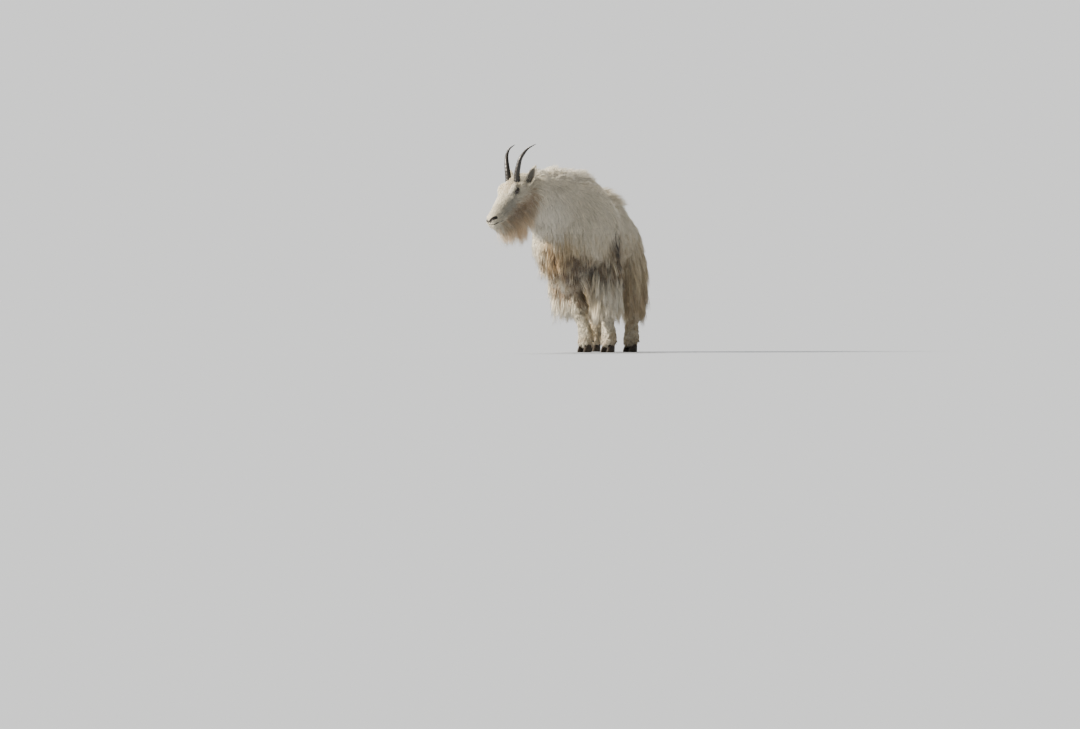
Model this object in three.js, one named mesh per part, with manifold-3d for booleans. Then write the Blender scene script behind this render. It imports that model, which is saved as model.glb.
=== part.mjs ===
// A mountain goat in its long winter coat, standing with its feet close together and its head lowered.
// Millimetres, +Z up. The animal faces -Y and its own left is +X. Every foot rests on Z = 0.

import * as THREE from 'three';
import { mergeVertices } from 'three/addons/utils/BufferGeometryUtils.js';
import Module from 'manifold-3d';

const wasm = await Module();
wasm.setup();

// Driving dimensions of the animal, all in millimetres or degrees.
const HUMP_TOP = 1000;          // solid top of the shoulder hump, below the tips of its crest
const RUMP_TOP = 884;           // solid top of the loins
const BRISKET_Z = 478;          // solid underside of the chest
const CHEST_HALF = 228;         // half width over the shoulders
const RUMP_HALF = 204;          // half width over the thighs
const HEAD_PITCH = 50;          // slope of the face below level, degrees
const HEAD_TURN = 14;           // turn of the head to the animal's own right, degrees
const HEAD_LENGTH = 360;        // back of the skull to the tip of the nose
const HORN_RISE = 190;          // height of a horn's tip over its base
const HORN_SWEEP = 94;          // how far a horn's tip lies behind its base
const HORN_SPREAD = 52;         // how far a horn's tip lies outside its base
const HORN_RADIUS = 18;         // radius of a horn at its base
const CLAW_HEIGHT = 44;         // height of a hoof claw
const CLAW_LENGTH = 66;         // length of a hoof claw
const CLAW_WIDTH = 33;          // width of a hoof claw
const JOINT_GAP = 0.36;         // clearance kept between neighbouring pieces
const POLL = new THREE.Vector3(-43, -727, 987);   // back of the skull, where the neck carries the head

// The neck leaves the shoulders at a plane through these two heights: y and z on top, and below.
const NECK_BASE_TOP = [-345, 1000];
const NECK_BASE_LOW = [-470, 620];

// Where each leg stands: x and y of the middle of the hoof, and of the top of the leg in the body.
const LEGS = {
  foreleg_right: { foot: [10, -172], top: [-122, -160] },
  foreleg_left: { foot: [160, -164], top: [146, -166] },
  hindleg_right: { foot: [-138, 142], top: [-124, 148] },
  hindleg_left: { foot: [104, 150], top: [86, 152] },
};

const COAT_COLOUR = 0xd9cfba;
const HORN_COLOUR = 0x17130f;
const HOOF_COLOUR = 0x2b241d;
const EYE_COLOUR = 0x120c08;

// A small repeatable source of random numbers, so that every build gives the same coat.
function seededRandom(seed) {
  let state = seed;
  return () => {
    state = (state * 1664525 + 1013904223) % 4294967296;
    return state / 4294967296;
  };
}

const DOWN = new THREE.Vector3(0, 0, -1);

function vec(x, y, z) {
  return new THREE.Vector3(x, y, z);
}

// The head's own axes: along the face, to the animal's left, and out of the forehead.
const turn = THREE.MathUtils.degToRad(HEAD_TURN);
const pitch = THREE.MathUtils.degToRad(HEAD_PITCH);
const HEAD_LEVEL = vec(-Math.sin(turn), -Math.cos(turn), 0);
const HEAD_LEFT = vec(Math.cos(turn), -Math.sin(turn), 0);
const HEAD_ALONG = HEAD_LEVEL.clone().multiplyScalar(Math.cos(pitch)).addScaledVector(DOWN, Math.sin(pitch));
const HEAD_UP = HEAD_LEVEL.clone().multiplyScalar(Math.sin(pitch)).addScaledVector(DOWN, -Math.cos(pitch));

// A point of the head from its distances along the face, to the left and out of the forehead.
function onHead(along, left, up) {
  return POLL.clone()
    .addScaledVector(HEAD_ALONG, along)
    .addScaledVector(HEAD_LEFT, left)
    .addScaledVector(HEAD_UP, up);
}

// Turns a closed geometry into a solid that can be joined and cut.
function toSolid(geometry) {
  const bare = geometry.clone();
  bare.deleteAttribute('normal');
  bare.deleteAttribute('uv');
  const merged = mergeVertices(bare, 1e-4);
  const mesh = new wasm.Mesh({
    numProp: 3,
    vertProperties: new Float32Array(merged.attributes.position.array),
    triVerts: new Uint32Array(merged.index.array),
  });
  return new wasm.Manifold(mesh);
}

// Turns a solid back into a geometry, flat shaded.
function toGeometry(solid) {
  const mesh = solid.getMesh();
  const geometry = new THREE.BufferGeometry();
  geometry.setAttribute('position', new THREE.BufferAttribute(new Float32Array(mesh.vertProperties), 3));
  geometry.setIndex(new THREE.BufferAttribute(new Uint32Array(mesh.triVerts), 1));
  const flat = geometry.toNonIndexed();
  flat.computeVertexNormals();
  return flat;
}

// The largest closed surface of a solid, filled where it had sealed hollows.
function largestBody(solid) {
  let best = solid;
  let bestVolume = -1;
  for (const piece of solid.decompose()) {
    const volume = piece.volume();
    if (volume > bestVolume) {
      best = piece;
      bestVolume = volume;
    }
  }
  return best;
}

// A closed skin through rings of points, each ring with the same number of points, and a pole at each end.
function skinRings(rings, startPole, endPole) {
  const count = rings[0].length;
  const positions = [];
  const triangles = [];
  for (const ring of rings) {
    for (const point of ring) {
      positions.push(point.x, point.y, point.z);
    }
  }
  for (let row = 0; row + 1 < rings.length; row += 1) {
    for (let i = 0; i < count; i += 1) {
      const a = row * count + i;
      const b = row * count + (i + 1) % count;
      triangles.push(a, b, b + count, a, b + count, a + count);
    }
  }
  const start = rings.length * count;
  const last = (rings.length - 1) * count;
  positions.push(startPole.x, startPole.y, startPole.z, endPole.x, endPole.y, endPole.z);
  for (let i = 0; i < count; i += 1) {
    const next = (i + 1) % count;
    triangles.push(start, next, i);
    triangles.push(start + 1, last + i, last + next);
  }
  const geometry = new THREE.BufferGeometry();
  geometry.setAttribute('position', new THREE.Float32BufferAttribute(positions, 3));
  geometry.setIndex(triangles);
  return geometry;
}

// One point of a superellipse with unit half axes. A power of 2 gives a plain ellipse.
function rounded(value, power) {
  return Math.sign(value) * Math.abs(value) ** (2 / power);
}

// The point of a station's outline at an angle. A station has a middle, a half axis to the side,
// a half axis up, a depth below its middle and a roundness for each half.
function outlinePoint(station, angle, grow) {
  const c = Math.cos(angle);
  const s = Math.sin(angle);
  const power = s > 0 ? station.topPower : station.lowPower;
  const side = station.side.length() + grow;
  const height = (s > 0 ? station.up.length() : station.low) + grow;
  return station.middle.clone()
    .addScaledVector(station.side.clone().normalize(), side * rounded(c, power))
    .addScaledVector(station.up.clone().normalize(), height * rounded(s, power));
}

// Makes a station, filling in what is left out.
function station(middle, side, up, options = {}) {
  return {
    middle,
    side,
    up,
    low: options.low ?? up.length(),
    topPower: options.topPower ?? 2,
    lowPower: options.lowPower ?? 2,
  };
}

// The station part way between two others.
function blendStations(a, b, t) {
  return {
    middle: a.middle.clone().lerp(b.middle, t),
    side: a.side.clone().lerp(b.side, t),
    up: a.up.clone().lerp(b.up, t),
    low: THREE.MathUtils.lerp(a.low, b.low, t),
    topPower: THREE.MathUtils.lerp(a.topPower, b.topPower, t),
    lowPower: THREE.MathUtils.lerp(a.lowPower, b.lowPower, t),
  };
}

// A body made of stations: a closed solid, and a surface on which locks can be set.
class Form {
  constructor(stations, sides, bulge = 0.35) {
    this.stations = stations;
    this.sides = sides;
    this.bulge = bulge;
  }

  stationAt(s) {
    const last = this.stations.length - 1;
    const row = Math.min(Math.floor(s), last - 1);
    return blendStations(this.stations[row], this.stations[row + 1], s - row);
  }

  point(s, angle) {
    return outlinePoint(this.stationAt(s), angle, 0);
  }

  // The direction out of the surface.
  normal(s, angle) {
    const last = this.stations.length - 1;
    const here = Math.min(Math.max(s, 0.02), last - 0.02);
    const along = this.point(here + 0.02, angle).sub(this.point(here - 0.02, angle));
    const around = this.point(here, angle + 0.02).sub(this.point(here, angle - 0.02));
    const out = around.cross(along).normalize();
    const outward = this.point(here, angle).sub(this.stationAt(here).middle);
    return out.dot(outward) < 0 ? out.negate() : out;
  }

  pole(end, grow) {
    const last = this.stations.length - 1;
    const at = this.stations[end === 0 ? 0 : last];
    const inner = this.stations[end === 0 ? 1 : last - 1];
    const out = at.middle.clone().sub(inner.middle).normalize();
    const size = Math.min(at.side.length(), at.up.length());
    return at.middle.clone().addScaledVector(out, size * this.bulge + grow);
  }

  solid(grow = 0) {
    const rings = [];
    for (const at of this.stations) {
      const ring = [];
      for (let i = 0; i < this.sides; i += 1) {
        ring.push(outlinePoint(at, i / this.sides * Math.PI * 2, grow));
      }
      rings.push(ring);
    }
    let solid = toSolid(skinRings(rings, this.pole(0, grow), this.pole(1, grow)));
    if (solid.volume() < 0) {
      rings.forEach((ring) => ring.reverse());
      solid = toSolid(skinRings(rings, this.pole(0, grow), this.pole(1, grow)));
    }
    return solid;
  }
}

// The build of a lock: its root below the surface, three rings and a tip.
const LOCK_THICK = 0.24;            // thickness as a share of the width
const LOCK_SINK = 16;               // depth of the root below the surface
const ROOT_BACK = 0.1;              // how far the root lies behind the lock's place, as a share of its length
const FIRST_REACH = 0.18;           // from the lock's place to the second ring, along the surface
const FIRST_RISE = 0.3;             // and out of the surface, as a share of the lift
const LATER_REACH = [0.34, 0.3];    // from there to the third ring, and on to the tip
const LOCK_TAPER = [0.8, 1, 0.72];  // width of each ring

// A flat, tapered lock that leaves the surface along the lie of the coat and bends as it falls.
class Lock {
  constructor(root, normal, lie, options) {
    const { length, width, lift, fall, hanging } = options;
    this.width = width;
    this.thick = width * LOCK_THICK;
    const flow = lie.clone();
    if (!hanging) {
      flow.addScaledVector(normal, -lie.dot(normal));
    }
    flow.normalize();
    const below = root.clone().addScaledVector(hanging ? flow : normal, -(options.sink ?? LOCK_SINK));
    below.addScaledVector(flow, -length * ROOT_BACK);
    const above = root.clone().addScaledVector(flow, length * FIRST_REACH);
    above.addScaledVector(normal, lift * length * FIRST_RISE);
    this.points = [below, above];
    const heading = flow.clone().addScaledVector(normal, lift).normalize();
    LATER_REACH.forEach((reach, i) => {
      const share = fall * (i + 1) / LATER_REACH.length;
      const bend = heading.clone().multiplyScalar(1 - share).addScaledVector(DOWN, share).normalize();
      this.points.push(this.points[i + 1].clone().addScaledVector(bend, length * reach));
    });
    const sideways = HEAD_LEFT.clone().multiplyScalar(Math.sign(normal.dot(HEAD_LEFT)) || 1);
    this.breadth = flow.clone().cross(hanging ? sideways : normal).normalize();
  }

  solid(grow = 0) {
    const rings = [];
    for (let i = 0; i < LOCK_TAPER.length; i += 1) {
      const flow = this.points[i + 1].clone().sub(this.points[i]).normalize();
      const across = this.breadth.clone().addScaledVector(flow, -this.breadth.dot(flow)).normalize();
      const out = across.clone().cross(flow).normalize();
      const deep = this.thick * LOCK_TAPER[i] / 2 + grow;
      const half = this.width * LOCK_TAPER[i] / 2 + grow * (1 + this.width / this.thick);
      const under = this.points[i].clone().addScaledVector(out, -deep);
      rings.push([
        under.clone().addScaledVector(across, half),
        this.points[i].clone().addScaledVector(out, deep),
        under.clone().addScaledVector(across, -half),
      ]);
    }
    const tip = this.points[3].clone();
    tip.addScaledVector(this.points[3].clone().sub(this.points[2]).normalize(), grow * 3);
    const root = this.points[0].clone();
    root.addScaledVector(this.points[0].clone().sub(this.points[1]).normalize(), grow);
    let solid = toSolid(skinRings(rings, root, tip));
    if (solid.volume() < 0) {
      rings.forEach((ring) => ring.reverse());
      solid = toSolid(skinRings(rings, root, tip));
    }
    return solid;
  }
}

// Every named piece: its forms joined, and the pieces that it is kept clear of.
const pieces = new Map();

function addPiece(name, forms, colour, finish, options = {}) {
  pieces.set(name, { forms, colour, finish, cuts: options.cuts ?? [], within: options.within });
}

// The solid of a piece. Grown a little, it is what the pieces beside it are cut clear of.
function pieceSolid(piece, grow) {
  let solid = wasm.Manifold.union(piece.forms.map((form) => form.solid(grow)));
  if (piece.within) {
    solid = solid.intersect(piece.within(grow));
  }
  return solid;
}

// The half of space behind or before the slanted plane where the neck leaves the shoulders.
function neckBase(rear) {
  return (grow) => {
    const size = HUMP_TOP * 3;
    const box = new THREE.BoxGeometry(size, size, size);
    const shift = size / 2 + JOINT_GAP / 2 - grow;
    const slope = Math.atan2(NECK_BASE_LOW[0] - NECK_BASE_TOP[0], NECK_BASE_LOW[1] - NECK_BASE_TOP[1]);
    box.translate(0, rear ? shift : -shift, 0);
    box.rotateX(Math.PI - slope);
    box.translate(0, NECK_BASE_TOP[0], NECK_BASE_TOP[1]);
    return toSolid(box);
  };
}

// The trunk, as level slices from the breast to the rump.
function trunkForm() {
  const rows = [
    [-492, 0, 90, 770, 560, 1.9],
    [-455, 0, 158, 880, 500, 1.9],
    [-385, 0, 200, 960, BRISKET_Z - 18, 1.9],
    [-295, 0, CHEST_HALF, HUMP_TOP, BRISKET_Z - 30, 1.85],
    [-215, 0, CHEST_HALF + 4, HUMP_TOP, BRISKET_Z - 26, 1.8],
    [-130, 0, CHEST_HALF - 2, HUMP_TOP - 34, BRISKET_Z - 12, 1.8],
    [-40, -6, RUMP_HALF, RUMP_TOP + 26, BRISKET_Z, 1.75],
    [55, -14, RUMP_HALF - 12, RUMP_TOP, BRISKET_Z + 10, 1.7],
    [140, -22, RUMP_HALF - 16, RUMP_TOP - 34, BRISKET_Z + 24, 1.55],
    [210, -28, RUMP_HALF - 30, RUMP_TOP - 84, BRISKET_Z + 46, 1.55],
    [265, -30, RUMP_HALF - 66, RUMP_TOP - 150, BRISKET_Z + 74, 1.6],
    [300, -32, RUMP_HALF - 124, RUMP_TOP - 220, BRISKET_Z + 106, 1.8],
  ];
  const stations = [];
  for (const [y, x, half, top, bottom, power] of rows) {
    const middle = bottom + (top - bottom) * 0.4;
    const options = { low: middle - bottom, topPower: power, lowPower: 2.3 };
    stations.push(station(vec(x, y, middle), vec(half, 0, 0), vec(0, 0, top - middle), options));
  }
  return new Form(stations, 22);
}

// The neck, from inside the shoulders to the back of the skull.
function neckForm() {
  const rows = [
    [0, -300, 812, 178, 178, 190],
    [-8, -420, 828, 164, 178, 196],
    [-20, -530, 852, 146, 158, 192],
    [-31, -620, 884, 124, 124, 172],
    [-37, -690, 922, 98, 80, 140],
  ];
  const stations = [];
  for (const [x, y, z, half, top, low] of rows) {
    const options = { low, topPower: 2, lowPower: 2 };
    stations.push(station(vec(x, y, z), vec(half, 0, 0), vec(0, top * 0.18, top * 0.98), options));
  }
  return new Form(stations, 20);
}

// The head from the back of the skull to the lips. Each row gives the upper point, the lower point,
// both along the face and out of the forehead, and the half width.
function skullForm() {
  const nose = HEAD_LENGTH;
  const rows = [
    [-10, -20, -30, -95, 50],
    [20, 12, -5, -122, 66],
    [62, 32, 45, -132, 73],
    [105, 40, 98, -130, 75],
    [142, 41, 145, -120, 69],
    [182, 36, 190, -108, 55],
    [226, 31, 236, -94, 43],
    [270, 28, 282, -80, 36],
    [nose - 48, 27, nose - 36, -66, 35],
    [nose - 22, 24, nose - 8, -54, 34],
    [nose - 8, 12, nose + 4, -44, 27],
  ];
  const stations = [];
  for (const [topAlong, topUp, lowAlong, lowUp, half] of rows) {
    const top = onHead(topAlong, 0, topUp);
    const low = onHead(lowAlong, 0, lowUp);
    const middle = low.clone().lerp(top, 0.6);
    const options = { low: middle.distanceTo(low), topPower: 2.2, lowPower: 1.9 };
    stations.push(station(middle, HEAD_LEFT.clone().multiplyScalar(half), top.sub(middle), options));
  }
  return new Form(stations, 18, 0.3);
}

// A horn: a slim cone along a curve that rises, sweeps back and spreads.
function hornForm(side) {
  const base = onHead(60, side * 35, 27);
  const rows = [
    [-0.06, 0, -0.3],
    [0, 0, 0],
    [0.18, -0.02, 0.08],
    [0.36, 0, 0.23],
    [0.57, 0.06, 0.42],
    [0.735, 0.23, 0.65],
    [0.88, 0.5, 0.83],
    [1, 1, 1],
  ];
  const path = new THREE.CatmullRomCurve3(rows.map(([rise, sweep, spread]) => base.clone()
    .addScaledVector(DOWN, -rise * HORN_RISE)
    .addScaledVector(HEAD_LEVEL, -sweep * HORN_SWEEP)
    .addScaledVector(HEAD_LEFT, side * spread * HORN_SPREAD)));
  const steps = 11;
  const stations = [];
  for (let i = 0; i <= steps; i += 1) {
    const t = i / steps;
    const radius = HORN_RADIUS * (1 - t ** 1.35) + 1.6;
    const along = path.getTangent(t);
    const across = HEAD_LEFT.clone().addScaledVector(along, -HEAD_LEFT.dot(along)).normalize();
    const up = along.clone().cross(across).normalize();
    stations.push(station(path.getPoint(t), across.multiplyScalar(radius), up.multiplyScalar(radius * 1.12)));
  }
  return new Form(stations, 10, 0.6);
}

// An ear: a pointed leaf, with its cup cut out of the front by a smaller leaf.
const EAR_LENGTH = 116;
const EAR_BASE = [54, 66, -30];
const EAR_TIP = [-26, 118, 22];
const CUP_SHARE = 0.68;     // size of the cup beside the ear
const CUP_FORWARD = 9;      // how far the cup's middle lies before the ear's

function earAxes(side) {
  const base = onHead(EAR_BASE[0], side * EAR_BASE[1], EAR_BASE[2]);
  const tip = onHead(EAR_TIP[0], side * EAR_TIP[1], EAR_TIP[2]);
  const along = tip.clone().sub(base).normalize();
  const front = HEAD_LEVEL.clone().multiplyScalar(0.75).addScaledVector(HEAD_LEFT, side * 0.65);
  front.addScaledVector(along, -front.dot(along)).normalize();
  const across = along.clone().cross(front).normalize();
  return { base, along, front, across };
}

function earForm(side, share, forward) {
  const { base, along, front, across } = earAxes(side);
  const rows = [[-0.14, 13], [0.16, 20], [0.45, 23], [0.74, 15], [0.95, 5]];
  const stations = rows.map(([t, half]) => {
    const middle = base.clone().addScaledVector(along, t * EAR_LENGTH).addScaledVector(front, forward);
    const deep = half * 0.5 + 3;
    const aside = across.clone().multiplyScalar(half * share);
    return station(middle, aside, front.clone().multiplyScalar(deep * share));
  });
  return new Form(stations, 10, 0.5);
}

// An eyeball, sunk in the side of the head below the brow.
const EYE_RADIUS = 14;
const EYE_PLACE = [129, 59, 3];

function eyeMiddle(side) {
  return onHead(EYE_PLACE[0], side * EYE_PLACE[1], EYE_PLACE[2]);
}

function eyeForm(side) {
  const stations = [];
  for (const t of [-0.85, -0.5, 0, 0.5, 0.85]) {
    const radius = EYE_RADIUS * Math.sqrt(1 - t * t);
    const at = eyeMiddle(side).addScaledVector(HEAD_LEFT, side * t * EYE_RADIUS);
    const along = HEAD_ALONG.clone().multiplyScalar(radius);
    stations.push(station(at, along, HEAD_UP.clone().multiplyScalar(radius)));
  }
  return new Form(stations, 12, 0.4);
}

// A lid: a roll of skin that follows an arc over or under the eye, from corner to corner.
const LID_CORNER = EYE_RADIUS * 1.23;     // from the middle of the eye to its corners
const UPPER_LID = { height: 9.3, thick: 5.5 };
const LOWER_LID = { height: -8.2, thick: 4 };
const LID_OUT = EYE_RADIUS * 0.81;        // how far the lids stand out from the middle of the eye
const CORNER_SINK = 5;                    // how much deeper their corners lie

function lidForm(side, lid) {
  const out = HEAD_LEFT.clone().multiplyScalar(side);
  const stations = [];
  const steps = 4;
  for (let i = 0; i <= steps; i += 1) {
    const angle = Math.PI * i / steps;
    const at = eyeMiddle(side)
      .addScaledVector(HEAD_ALONG, Math.cos(angle) * LID_CORNER)
      .addScaledVector(HEAD_UP, Math.sin(angle) * lid.height)
      .addScaledVector(out, LID_OUT - CORNER_SINK * Math.abs(Math.cos(angle)));
    const thick = lid.thick * THREE.MathUtils.lerp(0.55, 1, Math.sin(angle));
    stations.push(station(at, out.clone().multiplyScalar(thick), HEAD_UP.clone().multiplyScalar(thick)));
  }
  return new Form(stations, 5, 0.5);
}

// The ridge of bone over each eye.
function browForm(side) {
  const rows = [[96, 44, 24, 10], [118, 54, 24, 16], [142, 52, 22, 15], [166, 42, 20, 9]];
  const stations = rows.map(([along, left, up, radius]) => station(
    onHead(along, side * left, up),
    HEAD_LEFT.clone().multiplyScalar(radius),
    HEAD_UP.clone().multiplyScalar(radius * 0.9),
  ));
  return new Form(stations, 6, 0.5);
}

// The cut between the lips: a thin wedge round the muzzle, from one corner of the mouth to the other.
const MOUTH_DEPTH = 7;

function mouthCut(skull) {
  const nose = HEAD_LENGTH;
  const rows = [[nose - 60, -47, 1.2], [nose - 36, -32, 2], [nose - 12, -16, 2.4], [nose + 30, 4, 2.4]];
  const stations = rows.map(([along, up, thick]) => station(
    onHead(along, 0, up),
    HEAD_LEFT.clone().multiplyScalar(HEAD_LENGTH / 4),
    HEAD_UP.clone().multiplyScalar(thick),
  ));
  return new Form(stations, 4, 0).solid().subtract(skull.solid(-MOUTH_DEPTH));
}

// A nostril: a slanted hollow in the side of the nose.
function nostrilForm(side) {
  const rows = [[338, 30, 10, 3], [346, 24, 9, 6.5], [356, 17, 7, 6.5], [368, 13, 4, 5]];
  const stations = rows.map(([along, left, up, radius]) => station(
    onHead(along, side * left, up),
    HEAD_LEFT.clone().multiplyScalar(radius),
    HEAD_UP.clone().multiplyScalar(radius * 0.8),
  ));
  return new Form(stations, 8, 0.5);
}

// The lower lip and chin.
function chinForm() {
  const nose = HEAD_LENGTH;
  const rows = [
    [nose - 70, -58, 24, 20],
    [nose - 40, -50, 26, 21],
    [nose - 14, -42, 24, 18],
    [nose, -34, 17, 12],
  ];
  const stations = rows.map(([along, up, half, height]) => station(
    onHead(along, 0, up),
    HEAD_LEFT.clone().multiplyScalar(half),
    HEAD_UP.clone().multiplyScalar(height),
  ));
  return new Form(stations, 14, 0.4);
}

// A leg as level slices. Each row gives the height, the place of the middle between foot and top,
// an offset fore and aft, and the half widths across and fore and aft.
function legForm(leg, rows, sides) {
  const stations = [];
  for (const [z, t, offset, half, deep] of rows) {
    const x = THREE.MathUtils.lerp(leg.foot[0], leg.top[0], t);
    const y = THREE.MathUtils.lerp(leg.foot[1], leg.top[1], t) + offset;
    stations.push(station(vec(x, y, z), vec(half, 0, 0), vec(0, deep, 0)));
  }
  return new Form(stations, sides, 0.15);
}

const FORE_UPPER = [
  [640, 1.02, -50, 62, 92],
  [560, 1.02, -26, 88, 108],
  [470, 1.04, -8, 96, 108],
  [390, 1.02, 0, 98, 104],
  [320, 0.96, 4, 94, 98],
  [250, 0.86, 4, 84, 86],
];
const FORE_LOWER = [
  [250, 0.42, 2, 46, 48],
  [205, 0.24, 2, 44, 46],
  [150, 0.08, 6, 42, 44],
  [100, 0, 12, 45, 52],
  [62, 0, 8, 47, 56],
  [40, 0, 2, 42, 50],
];
const HIND_UPPER = [
  [700, 0.9, 0, 46, 84],
  [630, 1, 6, 66, 110],
  [540, 1, 14, 86, 122],
  [440, 0.9, 26, 86, 112],
  [350, 0.7, 38, 74, 90],
  [272, 0.5, 44, 60, 70],
];
const HIND_LOWER = [
  [272, 0.5, 44, 44, 50],
  [220, 0.3, 34, 42, 46],
  [150, 0.1, 18, 41, 44],
  [100, 0, 14, 45, 52],
  [62, 0, 8, 47, 56],
  [40, 0, 2, 42, 50],
];

// A hoof claw: a flat sole on the floor, a sloping toe and a rounded heel.
const CLEFT_HALF = 3.5;

function clawForm(leg, side) {
  const x = leg.foot[0] + side * (CLAW_WIDTH / 2 + CLEFT_HALF);
  const y = leg.foot[1];
  const rows = [[0, 1, -6], [12, 1.02, -4], [28, 0.9, 2], [CLAW_HEIGHT, 0.74, 9]];
  const stations = rows.map(([z, share, shift]) => {
    const middle = vec(x + side * (1 - share) * -4, y + shift, z);
    const options = { topPower: 2.6, lowPower: 1.6 };
    return station(middle, vec(CLAW_WIDTH / 2 * share, 0, 0), vec(0, CLAW_LENGTH / 2 * share, 0), options);
  });
  return new Form(stations, 10, 0);
}

// The short tail. Each row gives y, the height and the half widths across and fore and aft.
const TAIL_MIDDLE = -31;

function tailForm() {
  const rows = [
    [268, 726, 26, 30],
    [318, 690, 28, 28],
    [340, 640, 25, 24],
    [345, 596, 18, 18],
    [343, 566, 8, 8],
  ];
  const stations = [];
  for (const [y, z, half, deep] of rows) {
    stations.push(station(vec(TAIL_MIDDLE, y, z), vec(half, 0, 0), vec(0, deep, 0)));
  }
  return new Form(stations, 8, 0.4);
}

// Sets locks in staggered rows over part of a form. A region names the first and last station, the
// number of rows, the arcs that they cover in degrees, the locks across each arc and their sizes.
function lockRows(form, random, region) {
  const locks = [];
  for (const arc of region.arcs) {
    for (let row = 0; row < region.rows; row += 1) {
      const s = THREE.MathUtils.lerp(region.from, region.to, region.rows > 1 ? row / (region.rows - 1) : 0.5);
      const stagger = row % 2 === 0 ? 0.3 : 0.7;
      for (let i = 0; i < region.across; i += 1) {
        const share = (i + stagger + (random() - 0.5) * 0.2) / region.across;
        const angle = THREE.MathUtils.degToRad(THREE.MathUtils.lerp(arc[0], arc[1], share));
        const place = s + (random() - 0.5) * 0.2;
        const normal = form.normal(place, angle);
        locks.push(new Lock(form.point(place, angle), normal, region.lie, {
          length: region.length * (0.9 + random() * 0.2),
          width: region.width * (0.92 + random() * 0.16),
          lift: region.lift,
          fall: region.fall,
          sink: region.sink,
          hanging: region.hanging,
        }));
      }
    }
  }
  return locks;
}

const BACK_AND_DOWN = vec(0, 0.45, -0.9);
const BACKWARD = vec(0, 1, 0.1);
const DOWN_THE_BACK = vec(0, 1, -0.5);
const HANGING = vec(0, 0.2, -1);
const BEARD_LIE = vec(0.02, 0.06, -1);

// The long coat of the trunk: crest, loins, flanks, brisket, belly and rump.
const TRUNK_COAT = [
  {
    from: 2.9, to: 4.2, rows: 3, arcs: [[54, 126]], across: 3,
    length: 118, width: 100, lift: 0.2, fall: 0.36, lie: BACKWARD,
  },
  {
    from: 5, to: 8.8, rows: 4, arcs: [[54, 126]], across: 3,
    length: 136, width: 100, lift: 0.16, fall: 0.4, lie: DOWN_THE_BACK,
  },
  {
    from: 3.3, to: 9.4, rows: 5, arcs: [[-42, 6], [174, 222]], across: 1,
    length: 165, width: 125, lift: 0.18, fall: 0.7, lie: BACK_AND_DOWN,
  },
  {
    from: 0.4, to: 3.6, rows: 4, arcs: [[200, 340]], across: 4,
    length: 145, width: 100, lift: 0.25, fall: 0.85, lie: HANGING,
  },
  {
    from: 5, to: 8.2, rows: 3, arcs: [[240, 300]], across: 1,
    length: 110, width: 130, lift: 0.25, fall: 0.7, lie: BACKWARD,
  },
  {
    from: 9.6, to: 10.8, rows: 2, arcs: [[-30, 210]], across: 5,
    length: 120, width: 96, lift: 0.1, fall: 0.64, lie: HANGING,
  },
];

// The neck's mane, and its sides and throat.
const NECK_COAT = [
  {
    from: 1, to: 3.6, rows: 4, arcs: [[58, 122]], across: 2,
    length: 116, width: 96, lift: 0.5, fall: 0.1, lie: BACKWARD,
  },
  {
    from: 1.6, to: 3.8, rows: 4, arcs: [[208, 332]], across: 2,
    length: 124, width: 112, lift: 0.22, fall: 0.85, lie: HANGING,
  },
];

// The beard below the throat, the jaw and the chin, the cheeks, the forelock before the horns and
// the tuft behind them.
const HEAD_COAT = [
  {
    from: 1.2, to: 2.2, rows: 2, arcs: [[232, 308]], across: 2,
    length: 118, width: 54, lift: 0, fall: 1, lie: BEARD_LIE, sink: 30, hanging: true,
  },
  {
    from: 3.2, to: 5.9, rows: 4, arcs: [[236, 304]], across: 2,
    length: 176, width: 50, lift: 0, fall: 1, lie: BEARD_LIE, sink: 30, hanging: true,
  },
  {
    from: 6.8, to: 8.1, rows: 2, arcs: [[236, 304]], across: 2,
    length: 142, width: 42, lift: 0, fall: 1, lie: BEARD_LIE, sink: 28, hanging: true,
  },
  {
    from: 1.3, to: 3.3, rows: 2, arcs: [[200, 226], [314, 340]], across: 1,
    length: 90, width: 60, lift: 0.1, fall: 0.9, lie: HANGING, sink: 12,
  },
  {
    from: 3, to: 3, rows: 1, arcs: [[66, 114]], across: 2,
    length: 58, width: 34, lift: 0.1, fall: 0, lie: HEAD_ALONG, sink: 8,
  },
  {
    from: 0.9, to: 0.9, rows: 1, arcs: [[50, 130]], across: 2,
    length: 60, width: 60, lift: 0.3, fall: 0, lie: BACKWARD, sink: 10,
  },
];

// The pantaloons on the upper part of a fore and a hind leg, and the hair of the tail.
const FORELEG_COAT = [
  {
    from: 1.8, to: 4.5, rows: 3, arcs: [[0, 360]], across: 4,
    length: 164, width: 128, lift: 0.18, fall: 0.9, lie: HANGING,
  },
];
const HINDLEG_COAT = [
  {
    from: 2, to: 4.7, rows: 3, arcs: [[0, 360]], across: 4,
    length: 190, width: 124, lift: 0.14, fall: 0.9, lie: HANGING,
  },
];
const TAIL_COAT = [
  {
    from: 1.6, to: 3, rows: 2, arcs: [[0, 180]], across: 2,
    length: 84, width: 50, lift: 0.15, fall: 0.8, lie: HANGING, sink: 8,
  },
];

// The seed of each form's coat. Each leg adds where it stands, so that no two are alike.
const COAT_SEEDS = { head: 11, trunk: 23, neck: 37, tail: 41, leg: 53 };

function coatLocks(form, seed, regions) {
  const random = seededRandom(seed);
  return regions.flatMap((region) => lockRows(form, random, region));
}

const coat = { roughness: 0.95, metalness: 0 };
const hard = { roughness: 0.35, metalness: 0 };
const moist = { roughness: 0.08, metalness: 0 };

const neck = neckForm();
const trunk = trunkForm();
const skull = skullForm();

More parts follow.
